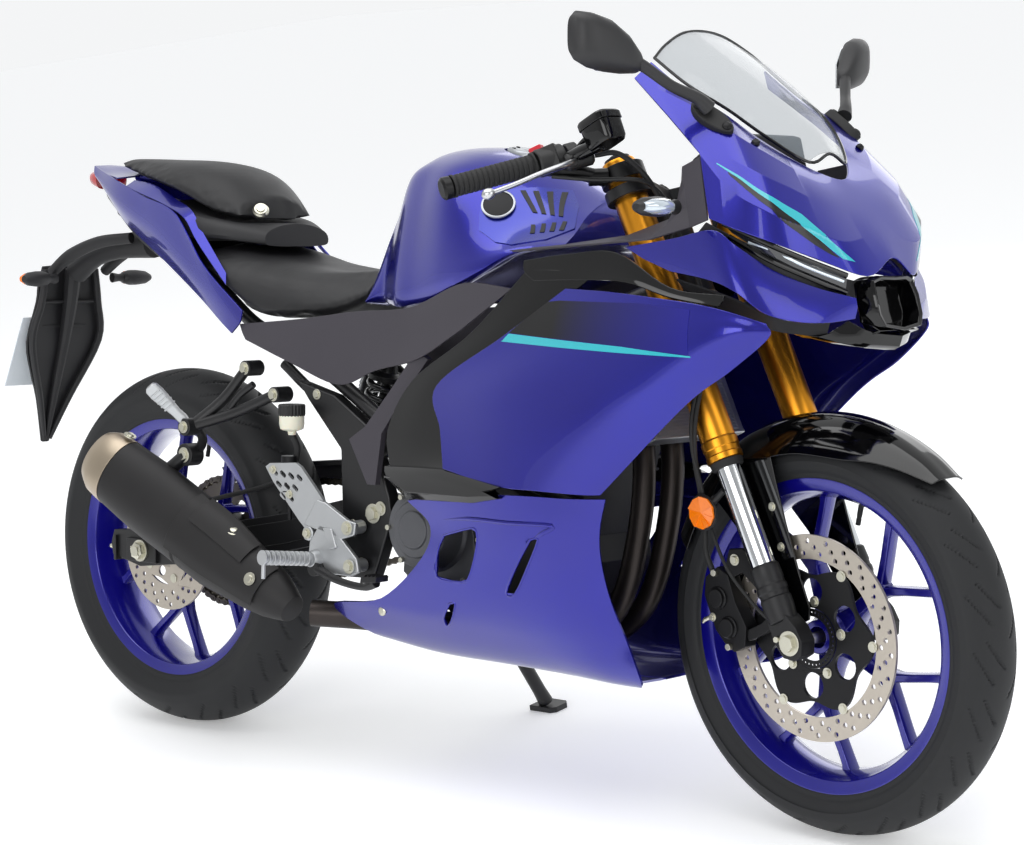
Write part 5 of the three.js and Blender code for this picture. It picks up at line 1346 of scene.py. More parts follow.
for suffix, turn in DRAWN_LEFT:
    make(f"frame_plate_{suffix}", turn(side_plate), enamel, "chassis", bevel=4, segments=3)
    make(f"frame_bolts_{suffix}", turn(merge(*plate_bolts)), zinc, "chassis", bevel=0.6)

# ---------------------------------------------------------------- engine
# Parallel twin with its cylinders tipped forward, cast in aluminium with dark grey paint. The clutch
# cover on the right and the generator cover on the left are ringed with screws.
engine_grey = finish("dark_grey_paint_on_cast_aluminium", "55565a", 0.42, 0.5, grain=1.6, depth=0.08,
                     mottle=0.14)
engine_black = finish("black_paint_on_cast_iron", "19191b", 0.5, 0.2, grain=1.4, depth=0.07, mottle=0.14)
case_outline = [(-66, 305), (-30, 278), (120, 268), (232, 304), (258, 360), (248, 438), (90, 498), (-40, 478),
                (-68, 390)]
crank = plate(case_outline, -110, 110)
lower_fins = merge(*[plate([(0, 262), (200, 262), (206, 270), (-6, 270)], -100 + 22 * k, -96 + 22 * k)
                     for k in range(10)])
cylinder_block = plate([(72, 478), (112, 598), (160, 650), (268, 626), (306, 566), (260, 402)], -83, 83)
cylinder_fins = []
for k in range(7):
    t = k / 6
    a = Vector((84 + 30 * t, 0, 500 + 92 * t))
    b = Vector((268 + 36 * t, 0, 440 + 118 * t))
    n = Vector((-(b - a).z, 0, (b - a).x)).normalized() * 3
    cylinder_fins.append(plate([tuple(p) for p in (
        ((a - n).x, (a - n).z), ((b - n).x, (b - n).z), ((b + n).x, (b + n).z), ((a + n).x,
                                                                                 (a + n).z))], -92, 92))
make("crankcase", merge(crank, lower_fins), engine_black, "chassis", stands_for=["engine"],
     bevel=5,
     segments=3)
make("cylinders", merge(cylinder_block, *cylinder_fins), engine_black, "chassis", bevel=1.5)


def round_cover(x, z, radius, near, far, side):
    """Domed cover with a stepped rim, facing out on one side."""
    profile = [(0, radius + 8), (0.25, radius + 8), (0.3, radius + 2), (0.72, radius), (0.86, radius - 3),
               (0.9, radius * 0.72), (0.94, radius * 0.7), (0.95, radius * 0.5), (1, radius * 0.46)]
    return turned_on((x, side * near, z), (x, side * far, z), profile, 56)


def cover_screws(x, z, radius, y, side, count):
    return merge(*[hex_bolt(x + radius * math.cos(a), side * y, z + radius * math.sin(a), 4.6, out=side,
                            length=5,
                            washer=False) for a in np.arange(count) / count * 2 * math.pi])


make("clutch_cover", merge(round_cover(8, 405, 62, 108, 176, -1), plate([
    (-60, 330), (-20, 300), (70, 300), (96, 350), (84, 440), (30, 478), (-50, 466)], -124, -108)),
     engine_grey, "chassis", bevel=1.4)
make("clutch_screws", merge(cover_screws(8, 405, 57, 168, -1, 6), cover_screws(16, 392, 84, 122, -1, 7)),
     zinc,
     "chassis", bevel=0.5)
make("generator_cover", round_cover(60, 380, 66, 108, 158, 1), engine_grey, "chassis",
     bevel=1.4)
make("generator_screws", cover_screws(60, 380, 68, 128, 1, 8), zinc, "chassis", bevel=0.5)

# ---------------------------------------------------------------- radiator and exhaust
# Brazed aluminium radiator with a fine fin pack between flat tubes. Two stainless headers, darkened
# by heat, curve under the crankcase into a collector and a matte black muffler with a bare end cap.
RAD = BIKE @ Matrix.Translation(Vector((389, 0, 636)) * MM) @ Matrix.Rotation(-RAKE, 4, "Y")
fins = [loft([[(x, y, -78 + 5.2 * k + d) for x, y in ((11.6, -98), (12.6, -98), (12.6, 98), (11.6, 98))]
              for d in (0, 2.6)]) for k in range(31)]
make("radiator_core", merge(
    loft([[(x, y, s) for x, y in ((-11, -98), (11, -98), (11, 98), (-11, 98))] for s in (-80, 80)]), *fins,
), cap_metal, "chassis", RAD, ["radiator"])
make("radiator_tanks", merge(
    loft([[(x, y, s) for x, y in ((-12, -112), (12, -112), (12, -98), (-12, -98))] for s in (-84, 84)]),
    loft([[(x, y, s) for x, y in ((-12, 98), (12, 98), (12, 112), (-12, 112))] for s in (-84, 84)]),
    loft([[(x, y, s) for x, y in ((-13, -112), (13, -112), (13, 112), (-13, 112))] for s in (80, 86)]),
    loft([[(x, y, s) for x, y in ((-13, -112), (13, -112), (13, 112), (-13, 112))] for s in (-86, -80)]),
), cap_metal, "chassis", RAD, bevel=2)
heat_steel = finish("heat_darkened_stainless_steel", "3b3634", 0.4, 0.85, grain=2.0, depth=0.03, mottle=0.3)
header_tubes = [
    sweep([(330, y, 596), (362, y, 545), (360, y - 4, 430), (322, y - 10, 300), (230, y - 14, 234),
           (120, -35 + y * 0.4, 228)], 17.6, 24, 8) for y in (-45, 25)
]
flanges = [turned_on((322, y, 606), (336, y, 588), [(0, 24), (0.5, 24), (0.6, 20), (1, 20)],
                     28) for y in (-45, 25)]
collector = sweep([(150, -35, 230), (60, -40, 232), (-60, -62, 238), (-160, -106, 246), (-236, -154, 250)],
                  [24, 22, 22, 22, 21.5], 28, 8)
make("header_pipes", merge(*header_tubes, *flanges, collector), heat_steel, "chassis",
     stands_for=["exhaust_headers"])
MUFFLER_FRONT = Vector((-262, -172, 256))
MUFFLER_REAR = Vector((-700, -214, 490))
muffler_slope = math.atan2(MUFFLER_REAR.z - MUFFLER_FRONT.z, MUFFLER_FRONT.x - MUFFLER_REAR.x)


def muffler_point(t, angle, grow=0.0):
    """Point on the muffler's skin: t runs from front to rear, and the angle starts on its inner side."""
    sizes = np.array([[0, 22, 24], [0.06, 34, 38], [0.12, 39, 47], [0.35, 48.5, 66], [0.7, 50.5, 67.5],
                      [0.86, 48.5, 62.5], [0.93, 46.5, 60.5], [0.97, 40, 52], [0.985, 30, 38]])
    width = np.interp(t, sizes[:, 0], sizes[:, 1]) + grow
    height = np.interp(t, sizes[:, 0], sizes[:, 2]) + grow
    centre = MUFFLER_FRONT + (MUFFLER_REAR - MUFFLER_FRONT) * t
    sideways = width * math.cos(angle) * (1 - 0.16 * math.sin(angle))
    up = height * math.sin(angle)
    return centre + Vector((up * math.sin(muffler_slope), sideways, up * math.cos(muffler_slope)))


def muffler_ring(t, grow=0.0, sides=56):
    return [muffler_point(t, a, grow) for a in np.arange(sides) / sides * 2 * math.pi]


heat_black = finish("matte_black_heat_proof_coating", "1c1b1c", 0.55, 0.3, grain=1.2, depth=0.05, mottle=0.12)
satin_steel = finish("satin_stainless_steel", "a99c8a", 0.36, 0.95, grain=2.0, depth=0.02, mottle=0.1)
make("muffler_shell", loft([muffler_ring(t) for t in (0, 0.03, 0.08, 0.15, 0.25, 0.35, 0.45, 0.46)]
                           + [muffler_ring(0.465, -3)] + [muffler_ring(0.475, -3)]
                           + [muffler_ring(t) for t in (0.48, 0.6, 0.7, 0.8, 0.858)]), heat_black, "chassis",
     stands_for=["muffler"], bevel=0.6)
make("muffler_cap_shell", loft([muffler_ring(t, g) for t, g in (
    (0.86, 0.8), (0.89, 0.8), (0.93, 0), (0.955, -1), (0.972, -1), (0.98, -2), (0.984, -4), (0.984,
                                                                                             -17), (0.95, -19)
)]), satin_steel, "chassis", stands_for=["muffler_end_cap"], bevel=0.8)
shield_rows = [
    [muffler_point(t, a, 5.5) for a in np.radians((205, 186, 168, 150, 128, 100))]
    for t in (0.10, 0.16, 0.24, 0.34, 0.44, 0.5)
]
shield_rows = [[tuple(p) for p in row] for row in shield_rows]
upper_shield = [
    [tuple(muffler_point(t, a, 10.5)) for a in np.radians((150, 134, 118, 98))] for t in (0.2, 0.28, 0.36,
                                                                                          0.45)
]
make("muffler_shield", merge(surface(shield_rows, 2, 5, 5, tuple(MUFFLER_FRONT.lerp(MUFFLER_REAR, 0.3))),
                             surface(upper_shield, 2, 4, 4, tuple(MUFFLER_FRONT.lerp(MUFFLER_REAR, 0.3)))),
     heat_black, "chassis", bevel=0.8)
shield_bolts = []
for t, a in ((0.14, 160), (0.3, 118), (0.885, 90)):
    spot = muffler_point(t, math.radians(a), 6)
    out = (muffler_point(t, math.radians(a), 12) - spot).normalized()
    shield_bolts.append(turned_on(spot, spot + out * 5, [(0, 11), (0.3, 11), (0.35, 6.5), (0.9, 6), (1, 4)],
                                  24))
make("muffler_bolts", merge(*shield_bolts), zinc, "chassis", bevel=0.4)
MUFFLER_EYE = Vector((-507, -172, 495))
make("muffler_hanger", merge(
    turned_on(MUFFLER_EYE + Vector((0, -14, 0)), MUFFLER_EYE + Vector((0, 14, 0)), [(0, 19), (1, 19)], 32),
    sweep([(-507, -180, 495), (-530, -184, 478), (-548, -188, 462)], [12, 12, 14], 12, 3),
    sweep([(-507, -160, 495), (-480, -168, 520), (-474, -186, 545)], [9, 8, 8], 12, 3),
), enamel, "chassis", bevel=1)
make("muffler_eye_bolt", hex_bolt(MUFFLER_EYE.x, -186, MUFFLER_EYE.z, 9, length=5), zinc, "chassis",
     bevel=0.6)

# ---------------------------------------------------------------- swingarm, chain and shock
# Pressed and welded steel swingarm in satin black, with a plastic chain guard and a screw adjuster at
# each end. A roller chain turns the rear sprocket. One shock with a coil spring stands behind the engine.
ARM_OUTLINE = [
    (-76, 448), (-104, 453), (-130, 451), (-330, 404), (-600, 356), (-768, 345), (-776, 322), (-772, 301),
    (-700, 285), (-560, 301), (-330, 341), (-130, 386), (-92, 392), (-76, 402),
]
arm = plate(ARM_OUTLINE, 97, 118.5)
pressing = plate([(-150, 436), (-330, 392), (-590, 345), (-590, 314), (-560, 312), (-330, 354), (-150, 398)],
                 118, 120.2)
guard_top = plate([(-300, 482), (-420, 474), (-640, 454), (-700, 446), (-696, 440), (-420, 466), (-300, 474)],
                  76, 112)
guard_side = plate([(-300, 480), (-640, 452), (-640, 345), (-600, 345), (-560, 420), (-300, 440)], 109, 112)
brace = loft([[(x, y, z) for x, z in ((-322, 394), (-318, 350), (-250, 362), (-254, 404))] for y in (-100,
                                                                                                     100)])
make("swingarm_beams", merge(arm, flip(arm), pressing, flip(pressing), brace,
                             rod((-104, -118, 421), (-104, 118, 421), 17,
                                 32)), enamel, "chassis",
     stands_for=["swingarm"], bevel=2.4, segments=3)
make("chain_guard", merge(guard_top, guard_side), grained_black, "chassis", bevel=1)
adjuster = merge(
    plate([(-728, 334), (-652, 334), (-652, 294), (-728, 294)], 118, 125),
    plate([(-764, 336), (-758, 336), (-758, 292), (-764, 292)], 96, 124),
)
adjuster_screw = merge(
    rod((-786, 110, 314), (-728, 110, 314), 4, 16),
    turned_on((-776, 110, 314), (-768, 110, 314), [(0, 8), (1, 8)], 6),
    turned_on((-768, 110, 314), (-764, 110, 314), [(0, 8), (1, 8)], 6),
)
axle_nut = merge(
    turned_on((-690, 125, 314), (-690, 129, 314), [(0, 19), (1, 19)], 32),
    turned_on((-690, 129, 314), (-690, 138, 314), [(0, 15), (0.9, 15), (1, 13)], 6),
    rod((-690, 128, 314), (-690, 141, 314), 9, 24),
    rod((-700, 139, 322), (-680, 139, 306), 1.4, 8),
)
for suffix, turn in DRAWN_LEFT:
    make(f"chain_adjuster_{suffix}", turn(adjuster), enamel, "chassis", bevel=1.2)
    make(f"adjuster_screw_{suffix}", turn(adjuster_screw), zinc, "chassis", bevel=0.4)
    make(f"rear_axle_end_{suffix}", turn(axle_nut), zinc, "chassis", bevel=0.6)
make("swingarm_pivot_bolt", merge(hex_bolt(-104, -147, 421, 11, length=8),
                                  hex_bolt(-104, 147, 421, 11, 1, length=8)),
     zinc, "chassis", bevel=0.8)
PITCH_LENGTH = 15.875
FRONT_SPROCKET = Vector((-20, 0, 416))
SPROCKET_Y = 83
rear_ring, front_ring = 112.5, 34.5
track = []
for k in range(97):
    a = math.radians(92 + 193 * k / 96)
    track.append((REAR_AXLE.x + rear_ring * math.cos(a), REAR_AXLE.z + rear_ring * math.sin(a)))
for k in range(49):
    a = math.radians(-75 + 167 * k / 48)
    track.append((FRONT_SPROCKET.x + front_ring * math.cos(a), FRONT_SPROCKET.z + front_ring * math.sin(a)))
track.append(track[0])
line = np.array(track)
distance = np.concatenate([[0], np.cumsum(np.linalg.norm(np.diff(line, axis=0), axis=1))])
link_count = int(round(distance[-1] / PITCH_LENGTH / 2)) * 2
stations = np.arange(link_count) * distance[-1] / link_count
pins = np.stack([np.interp(stations, distance, line[:, i]) for i in (0, 1)], 1)
links = []
for k in range(link_count):
    a, b = Vector((pins[k][0], 0, pins[k][1])), Vector((pins[(k + 1) % link_count][0], 0,
                                                        pins[(k + 1) % link_count][1]))
    forward = (b - a).normalized()
    up = Vector((-forward.z, 0, forward.x))
    waist = [(-0.42, 0.7), (0.0, 1), (0.5, 0.62), (1.0, 1), (1.42, 0.7), (1.42, -0.7), (1.0, -1),
             (0.5, -0.62),
             (0.0, -1), (-0.42, -0.7)]
    outline = [a + forward * (t * PITCH_LENGTH) + up * (h * 5.6) for t, h in waist]
    step = 1.8 if k % 2 else 0.0
    for hand in (-1, 1):
        near, far = hand * (5.2 + step), hand * (6.9 + step)
        links.append(loft([[(p.x, SPROCKET_Y + y, p.z) for p in outline] for y in (near, far)]))
    links.append(turned_on((a.x, SPROCKET_Y - 5.2, a.z), (a.x, SPROCKET_Y + 5.2, a.z), [(0, 5), (1, 5)], 10))
    links.append(turned_on((a.x, SPROCKET_Y - 9.6, a.z), (a.x, SPROCKET_Y + 9.6, a.z), [(0, 2.4), (1, 2.4)],
                           8))
chain_steel = finish("oiled_roller_chain_steel", "6f6a62", 0.35, 0.95, grain=1.0, depth=0.02, mottle=0.15)
make("roller_chain", merge(*links), chain_steel, "chassis", stands_for=["drive_chain"])
TEETH = 43
tooth_ring = []
for k in range(TEETH * 8):
    a = 2 * math.pi * k / (TEETH * 8)
    tooth_ring.append(((108.5 + 4.2 * math.cos(TEETH * a)) * math.cos(a),
                       (108.5 + 4.2 * math.cos(TEETH * a)) * math.sin(a)))
windows = [ring(72 * math.cos(a), 72 * math.sin(a), 13, 24) for a in np.radians(np.arange(0, 360, 60))]
make("rear_sprocket", drilled(tooth_ring, windows + [ring(0, 0, 40, 48)], SPROCKET_Y - 3, SPROCKET_Y + 3),
     chain_steel,
     "rear_wheel_assembly", REAR_WHEEL, bevel=0.5, segments=1)
make("cush_drive", merge(
    lathe([(16, 55), (58, 55), (62, 60), (62, SPROCKET_Y - 4), (46, SPROCKET_Y - 3), (40, SPROCKET_Y + 2),
           (16, SPROCKET_Y + 2)], 64),
    *[hex_bolt(54 * math.cos(a), SPROCKET_Y + 3, 54 * math.sin(a), 6, out=1, length=6)
      for a in np.radians(np.arange(30, 390, 60))],
), carrier_black, "rear_wheel_assembly", REAR_WHEEL, bevel=0.8)
make("front_sprocket", merge(
    drilled([(FRONT_SPROCKET.x + (31 + 3.6 * math.cos(14 * a)) * math.cos(a),
              FRONT_SPROCKET.z + (31 + 3.6 * math.cos(14 * a)) * math.sin(a))
             for a in np.arange(112) / 112 * 2 * math.pi], [], SPROCKET_Y - 3, SPROCKET_Y + 3),
    hex_bolt(FRONT_SPROCKET.x, SPROCKET_Y + 3, FRONT_SPROCKET.z, 13, out=1, length=8),
), chain_steel, "chassis", bevel=0.4)
SHOCK_LOW, SHOCK_HIGH = Vector((-262, 0, 440)), Vector((-205, 0, 660))
shock_axis = (SHOCK_HIGH - SHOCK_LOW).normalized()
shock_side = shock_axis.cross(Vector((0, 1, 0)))
coil = []
for k in range(7 * 16 + 1):
    t = k / (7 * 16)
    a = 2 * math.pi * 7 * t
    coil.append(SHOCK_LOW + shock_axis * (48 + 138 * t)
                + 27 * (math.cos(a) * shock_side + math.sin(a) * Vector((0, 1, 0))))
spring_black = finish("black_powder_coated_spring", "1a1a1c", 0.3, 0.3, grain=1.5, depth=0.02,
                      Coat_Weight=0.4)
make("shock_spring", sweep([tuple(p) for p in coil], 5.6, 12), spring_black, "chassis",
     stands_for=["rear_shock"])
make("shock_body", merge(
    turned_on(SHOCK_LOW, SHOCK_HIGH, [(0, 12), (0.06, 14), (0.1, 30), (0.17, 32.5), (0.19, 32.5), (0.2, 20),
                                      (0.55, 20), (0.56, 8), (0.82, 8), (0.84, 32),
                                      (0.88, 32), (0.9, 16), (1, 12)], 36),
    rod(SHOCK_LOW + Vector((0, -18, 0)), SHOCK_LOW + Vector((0, 18, 0)), 13),
    rod(SHOCK_HIGH + Vector((0, -18, 0)), SHOCK_HIGH + Vector((0, 18, 0)), 13),
), enamel, "chassis", bevel=0.8)

# ---------------------------------------------------------------- rear brake
# Single-piston caliper over the rear disc. Its hose runs forward to a small master cylinder behind the
# heel plate, and the brake fluid stands in a translucent bottle with a ribbed black cap.
rear_caliper = merge(
    plate([(-662, 348), (-600, 352), (-590, 398), (-638, 411), (-670, 392)], -86, -67),
    plate([(-660, 350), (-602, 354), (-594, 396), (-638, 408), (-668, 390)], -56, -42),
    plate([(-636, 396), (-600, 384), (-594, 398), (-638, 411)], -70, -50),
    turned_on((-630, -84, 376), (-630, -95, 376), [(0, 20), (0.5, 20), (0.7, 17), (1, 15)], 32),
)
make("rear_caliper", rear_caliper, carrier_black, "chassis", stands_for=["rear_brake"],
     bevel=2)
make("rear_caliper_bolts", merge(hex_bolt(-660, -86, 362, 5.5, length=5),
                                 hex_bolt(-604, -86, 388, 5.5, length=5)),
     zinc, "chassis", bevel=0.5)
BOTTLE = (-262, -172)
make("rear_brake_hose", merge(
    sweep([(-610, -80, 396), (-540, -84, 412), (-420, -84, 440), (-330, -100, 470), (-290, -134, 502)], 4.2,
          12, 8),
    sweep([(-266, -170, 545), (-262, -160, 520), (-268, -158, 500), (-280, -160, 488)], 5.4, 12, 8),
), black_rubber, "chassis")
make("rear_master_cylinder", merge(
    turned_on((-276, -164, 430), (-276, -164, 505), [(0, 8), (0.1, 12), (0.7, 12), (0.72, 14), (1, 14)], 28),
    rod((-276, -164, 400), (-276, -164, 432), 3.5, 12),
), carrier_black, "chassis", bevel=0.8)
bottle_white = finish("translucent_polyethylene_bottle", "d9d6c4", 0.35, grain=2, depth=0.03, mottle=0.04,
                      Subsurface_Weight=0.2, Subsurface_Scale=0.004)


def bottle(profile, sides=40, ribs=0, rib=0.0):
    """Body turned about an upright line through the bottle."""
    return loft([[(BOTTLE[0] + (r + rib * math.cos(ribs * a)) * math.cos(a),
                   BOTTLE[1] + (r + rib * math.cos(ribs * a)) * math.sin(a), z)
                  for a in np.arange(sides) / sides * 2 * math.pi] for z, r in profile])


make("rear_reservoir", bottle([(540, 6), (546, 7), (548, 15), (550, 19), (558, 20.5), (572, 20.5),
                               (574, 18)]),
     bottle_white, "chassis", bevel=0.8)
make("rear_reservoir_cap", bottle([(571, 20.5), (574, 21.5), (588, 21.5), (590, 20)], 96, 24, 0.7),
     switch_black,
     "chassis", bevel=0.4)

# ---------------------------------------------------------------- rider's footrests
# Cast aluminium hangers with a slotted heel plate and folding ribbed pegs. The gear lever is on the
# left and the brake pedal on the right.
peg_silver = finish("bead_blasted_cast_aluminium", "b9bbbd", 0.42, 0.9, grain=0.9, depth=0.04, mottle=0.08)


def slot_hole(x, z, length, width, slope):
    """Outline of a slot with round ends, sloping by an angle."""
    points = []
    for a in np.radians(np.linspace(-90, 90, 9)):
        points.append((length / 2 + width * math.cos(a), width * math.sin(a)))
    for a in np.radians(np.linspace(90, 270, 9)):
        points.append((-length / 2 + width * math.cos(a), width * math.sin(a)))
    c, s = math.cos(slope), math.sin(slope)
    return [(x + u * c - v * s, z + u * s + v * c) for u, v in points]


heel_slots = [slot_hole(-296 + 19 * i + 9 * j, 478 - 19 * j - 2 * i, 8, 3.6, math.radians(-35))
              for j in range(3) for i in range(4 - j)]
heel = drilled([(-318, 486), (-308, 492), (-248, 496), (-236, 490), (-198, 452), (-160, 412), (-184, 398),
                (-228, 392), (-240, 402), (-300, 462)], heel_slots, 172, 178)
hanger_body = merge(
    plate([(-196, 440), (-176, 436), (-128, 412), (-108, 408), (-112, 388), (-140, 380), (-200, 392),
           (-226, 398)],
          174, 183),
    plate([(-190, 400), (-160, 398), (-106, 350), (-102, 330), (-121, 322), (-182, 322), (-216, 346),
           (-212, 372)],
          174, 183),
    plate([(-180, 396), (-160, 396), (-148, 366), (-166, 360)], 172, 186),
    rod((-125, 150, 399), (-125, 185, 399), 11, 24), rod((-121, 150, 338), (-121, 185, 338), 11, 24),
    rod((-216, 172, 384), (-216, 184, 384), 12, 24),
)
PEG_ROOT, PEG_TIP = Vector((-196, 190, 345)), Vector((-204, 296, 356))
peg_rings = [(0, 8)]
for k in range(9):
    t = 0.1 + 0.095 * k
    peg_rings += [(t, 8.4), (t + 0.012, 11.8), (t + 0.058, 11.8), (t + 0.07, 8.4)]
peg_rings += [(0.96, 9), (0.97, 12), (1.0, 12)]
peg = merge(
    turned_on(PEG_ROOT, PEG_TIP, peg_rings, 24),
    turned_on((-196, 180, 343), (-196, 198, 345), [(0, 15), (0.5, 16), (1, 12)], 24),
    rod(PEG_TIP + Vector((0, -4, -8)), PEG_TIP + Vector((-1, -4, -34)), 3.2, 12),
)
make_bolts = merge(hex_bolt(-125, 185, 399, 8, 1), hex_bolt(-121, 185, 338, 8, 1),
                   hex_bolt(-216, 184, 384, 6, 1),
                   hex_bolt(-300, 178, 482, 5, 1), hex_bolt(-262, 178, 444, 5, 1))
gear_lever = merge(
    sweep([(-190, 190, 330), (-120, 197, 318), (-50, 200, 322), (-20, 200, 330)], [8, 6, 6, 7], 16, 8),
    rod((-190, 178, 330), (-190, 198, 330), 12, 24),
)
toe_rubber = turned_on((-21, 200, 330), (-21, 240, 330),
                       [(0, 7), (0.06, 9.5), (0.2, 9.5), (0.24, 8.4), (0.3, 9.5),
    (0.46, 9.5), (0.5, 8.4), (0.54, 9.5), (0.7, 9.5), (0.74, 8.4), (0.8, 9.5), (0.96, 9.5), (1, 7)], 24)
brake_lever = flip(merge(
    sweep([(-190, 190, 330), (-130, 198, 316), (-70, 204, 312), (-38, 208, 322)], [8, 6, 6, 8], 16, 8),
    rod((-190, 178, 330), (-190, 198, 330), 12, 24),
    plate([(-54, 322), (-20, 325), (-19, 334), (-52, 332)], 200, 229),
    *[plate([(-48 + 8 * k, 332), (-44 + 8 * k, 332.4), (-44.5 + 8 * k, 335.5), (-47.5 + 8 * k, 335)], 201,
            228)
      for k in range(4)],
))
for suffix, turn in DRAWN_LEFT:
    make(f"heel_plate_{suffix}", turn(heel), peg_silver, "chassis",
         stands_for=[f"rider_footrest_{suffix}"], bevel=0.8)
    make(f"footrest_hanger_{suffix}", turn(hanger_body), peg_silver, "chassis", bevel=2.4,
         segments=3)
    make(f"rider_peg_{suffix}", turn(peg), peg_silver, "chassis", bevel=0.5)
    make(f"hanger_bolts_{suffix}", turn(make_bolts), zinc, "chassis", bevel=0.6)
make("gear_lever", gear_lever, peg_silver, "chassis")
make("gear_lever_rubber", toe_rubber, black_rubber, "chassis")
make("brake_pedal", brake_lever, cast_black, "chassis", bevel=1)

# ---------------------------------------------------------------- passenger's footrests
# Two-armed brackets of black steel tube, each with a folded silver peg on a clevis.
pillion_arms = merge(
    sweep([(-390, 150, 643), (-430, 168, 590), (-474, 200, 545)], 9, 20, 8),
    sweep([(-322, 152, 602), (-400, 168, 570), (-474, 200, 545)], 9, 20, 8),
    sweep([(-366, 158, 618), (-392, 164, 600), (-410, 170, 578)], 6, 14, 4),
    rod((-390, 122, 643), (-390, 156, 643), 13), rod((-322, 122, 602), (-322, 156, 602), 13),
    rod((-474, 186, 545), (-474, 216, 545), 14.5, 28),
)
FOLD_LOW, FOLD_HIGH = Vector((-474, 200, 545)), Vector((-508, 250, 606))
fold_way = (FOLD_HIGH - FOLD_LOW).normalized()
fold_flat = fold_way.cross(Vector((0, 1, 0.4))).normalized()
fold_edge = fold_way.cross(fold_flat)
folded = loft([[FOLD_LOW + fold_way * d + u * w * fold_flat + v * 6 * fold_edge
                for u, v in ((-1, -0.6), (-0.7, -1), (0.7, -1), (1, -0.6), (1, 0.6), (0.7, 1), (-0.7, 1),
                             (-1, 0.6))]
               for d, w in ((10, 7), (20, 9), (34, 8), (60, 11), (78, 13), (92, 12), (97, 7))])
fold_ribs = [loft([[FOLD_LOW + fold_way * (d + e) + u * 10.4 * fold_flat + v * 7.6 * fold_edge
                    for u, v in ((-1, -1), (1, -1), (1, 1), (-1, 1))] for e in (0, 3)]) for d in range(48,
                                                                                                       88, 8)]
for suffix, turn in DRAWN_LEFT:
    make(f"pillion_bracket_{suffix}", turn(pillion_arms), enamel, "chassis",
         stands_for=[f"pillion_footrest_{suffix}"], bevel=0.8)
    make(f"pillion_peg_{suffix}", turn(merge(folded, *fold_ribs)), peg_silver, "chassis",
         bevel=1)
    make(f"pillion_bolts_{suffix}", turn(merge(
        hex_bolt(-390, 156, 643, 7.5, 1), hex_bolt(-322, 156, 602, 7.5, 1), hex_bolt(-474, 216, 545, 7, 1))),
        zinc, "chassis", bevel=0.6)

# ---------------------------------------------------------------- side stand
# Steel leg in satin black, on a forked pivot at the frame's left foot, with a broad shoe on the floor.
STAND_PIVOT = Vector((-140, 136, 284))
STAND_FOOT = Vector((-104, 288, math.tan(LEAN) * 288 - 1.6))
stand_end = STAND_PIVOT.lerp(STAND_FOOT, 0.95)
shoe_turn = Matrix.Translation(STAND_FOOT) @ Matrix.Rotation(LEAN, 4, "X")
shoe = moved(loft([[(x, y, z) for x, y in ((-26, -23), (20, -23), (28, -14), (28, 14), (20, 23), (-26, 23))]
                   for z in (0.3, 10)]), shoe_turn)
make("stand_leg", merge(
    turned_on(STAND_PIVOT, stand_end, [(0, 13), (0.15, 13), (0.22, 11.5), (0.9, 11.5), (1, 13)], 28), shoe,
    rod(STAND_PIVOT + Vector((0, -12, 0)), STAND_PIVOT + Vector((0, 12, 0)), 19.5, 32),
), enamel, "stand", stands_for=["side_stand"], bevel=1.2)
make("stand_pivot_bolt", hex_bolt(STAND_PIVOT.x, 148, STAND_PIVOT.z, 9, 1, length=6), zinc, "stand",
     bevel=0.6)

# ---------------------------------------------------------------- decals, tank inlay and badge
# Printed films under the lacquer: a turquoise line with its shadow on the nose and on the side panel.
# The tank's flanks carry a bright blue inlay with slanted vents and a plain round badge.
def patch(shape, upper, lower, lift=0.5, steps=28, across=6):
    """Thin film on a shape's right-hand face, between two lines of (x, z) in side view."""
    skin = BVHTree.FromPolygons([Vector(p) for p in shape[0]], shape[1])

    def along(line, t):
        spread = np.linspace(0, 1, len(line))
        return np.array([np.interp(t, spread, [p[i] for p in line]) for i in (0, 1)])

    rows = []
    for i in range(steps + 1):
        top, foot = along(upper, i / steps), along(lower, i / steps)
        row = []
        for j in range(across + 1):
            x, z = top + (foot - top) * j / across
            hit, normal = skin.ray_cast(Vector((x, -500, z)), Vector((0, 1, 0)))[:2]
            if hit is None:
                hit, normal = skin.find_nearest(Vector((x, -200, z)))[:2]
            normal = normal if normal.y < 0 else -normal
            row.append((hit, normal))
        rows.append(row)
    outer = [hit + normal * lift for row in rows for hit, normal in row]
    inner = [hit - normal * 1.0 for row in rows for hit, normal in row]
    count, width = len(outer), across + 1
    faces = strip_faces(len(rows), width)
    faces += [tuple(reversed([count + i for i in face])) for face in faces]
    edge = list(range(width)) + [j * width + across for j in range(1, len(rows))]
    edge += [len(rows) * width - 1 - i for i in range(1, width)] + [j * width for j in range(len(rows) - 2,
                                                                                             0, -1)]
    faces += [(edge[(i + 1) % len(edge)], a, count + a, count + edge[(i + 1) % len(edge)])
              for i, a in enumerate(edge)]
    return [tuple(p) for p in outer + inner], faces


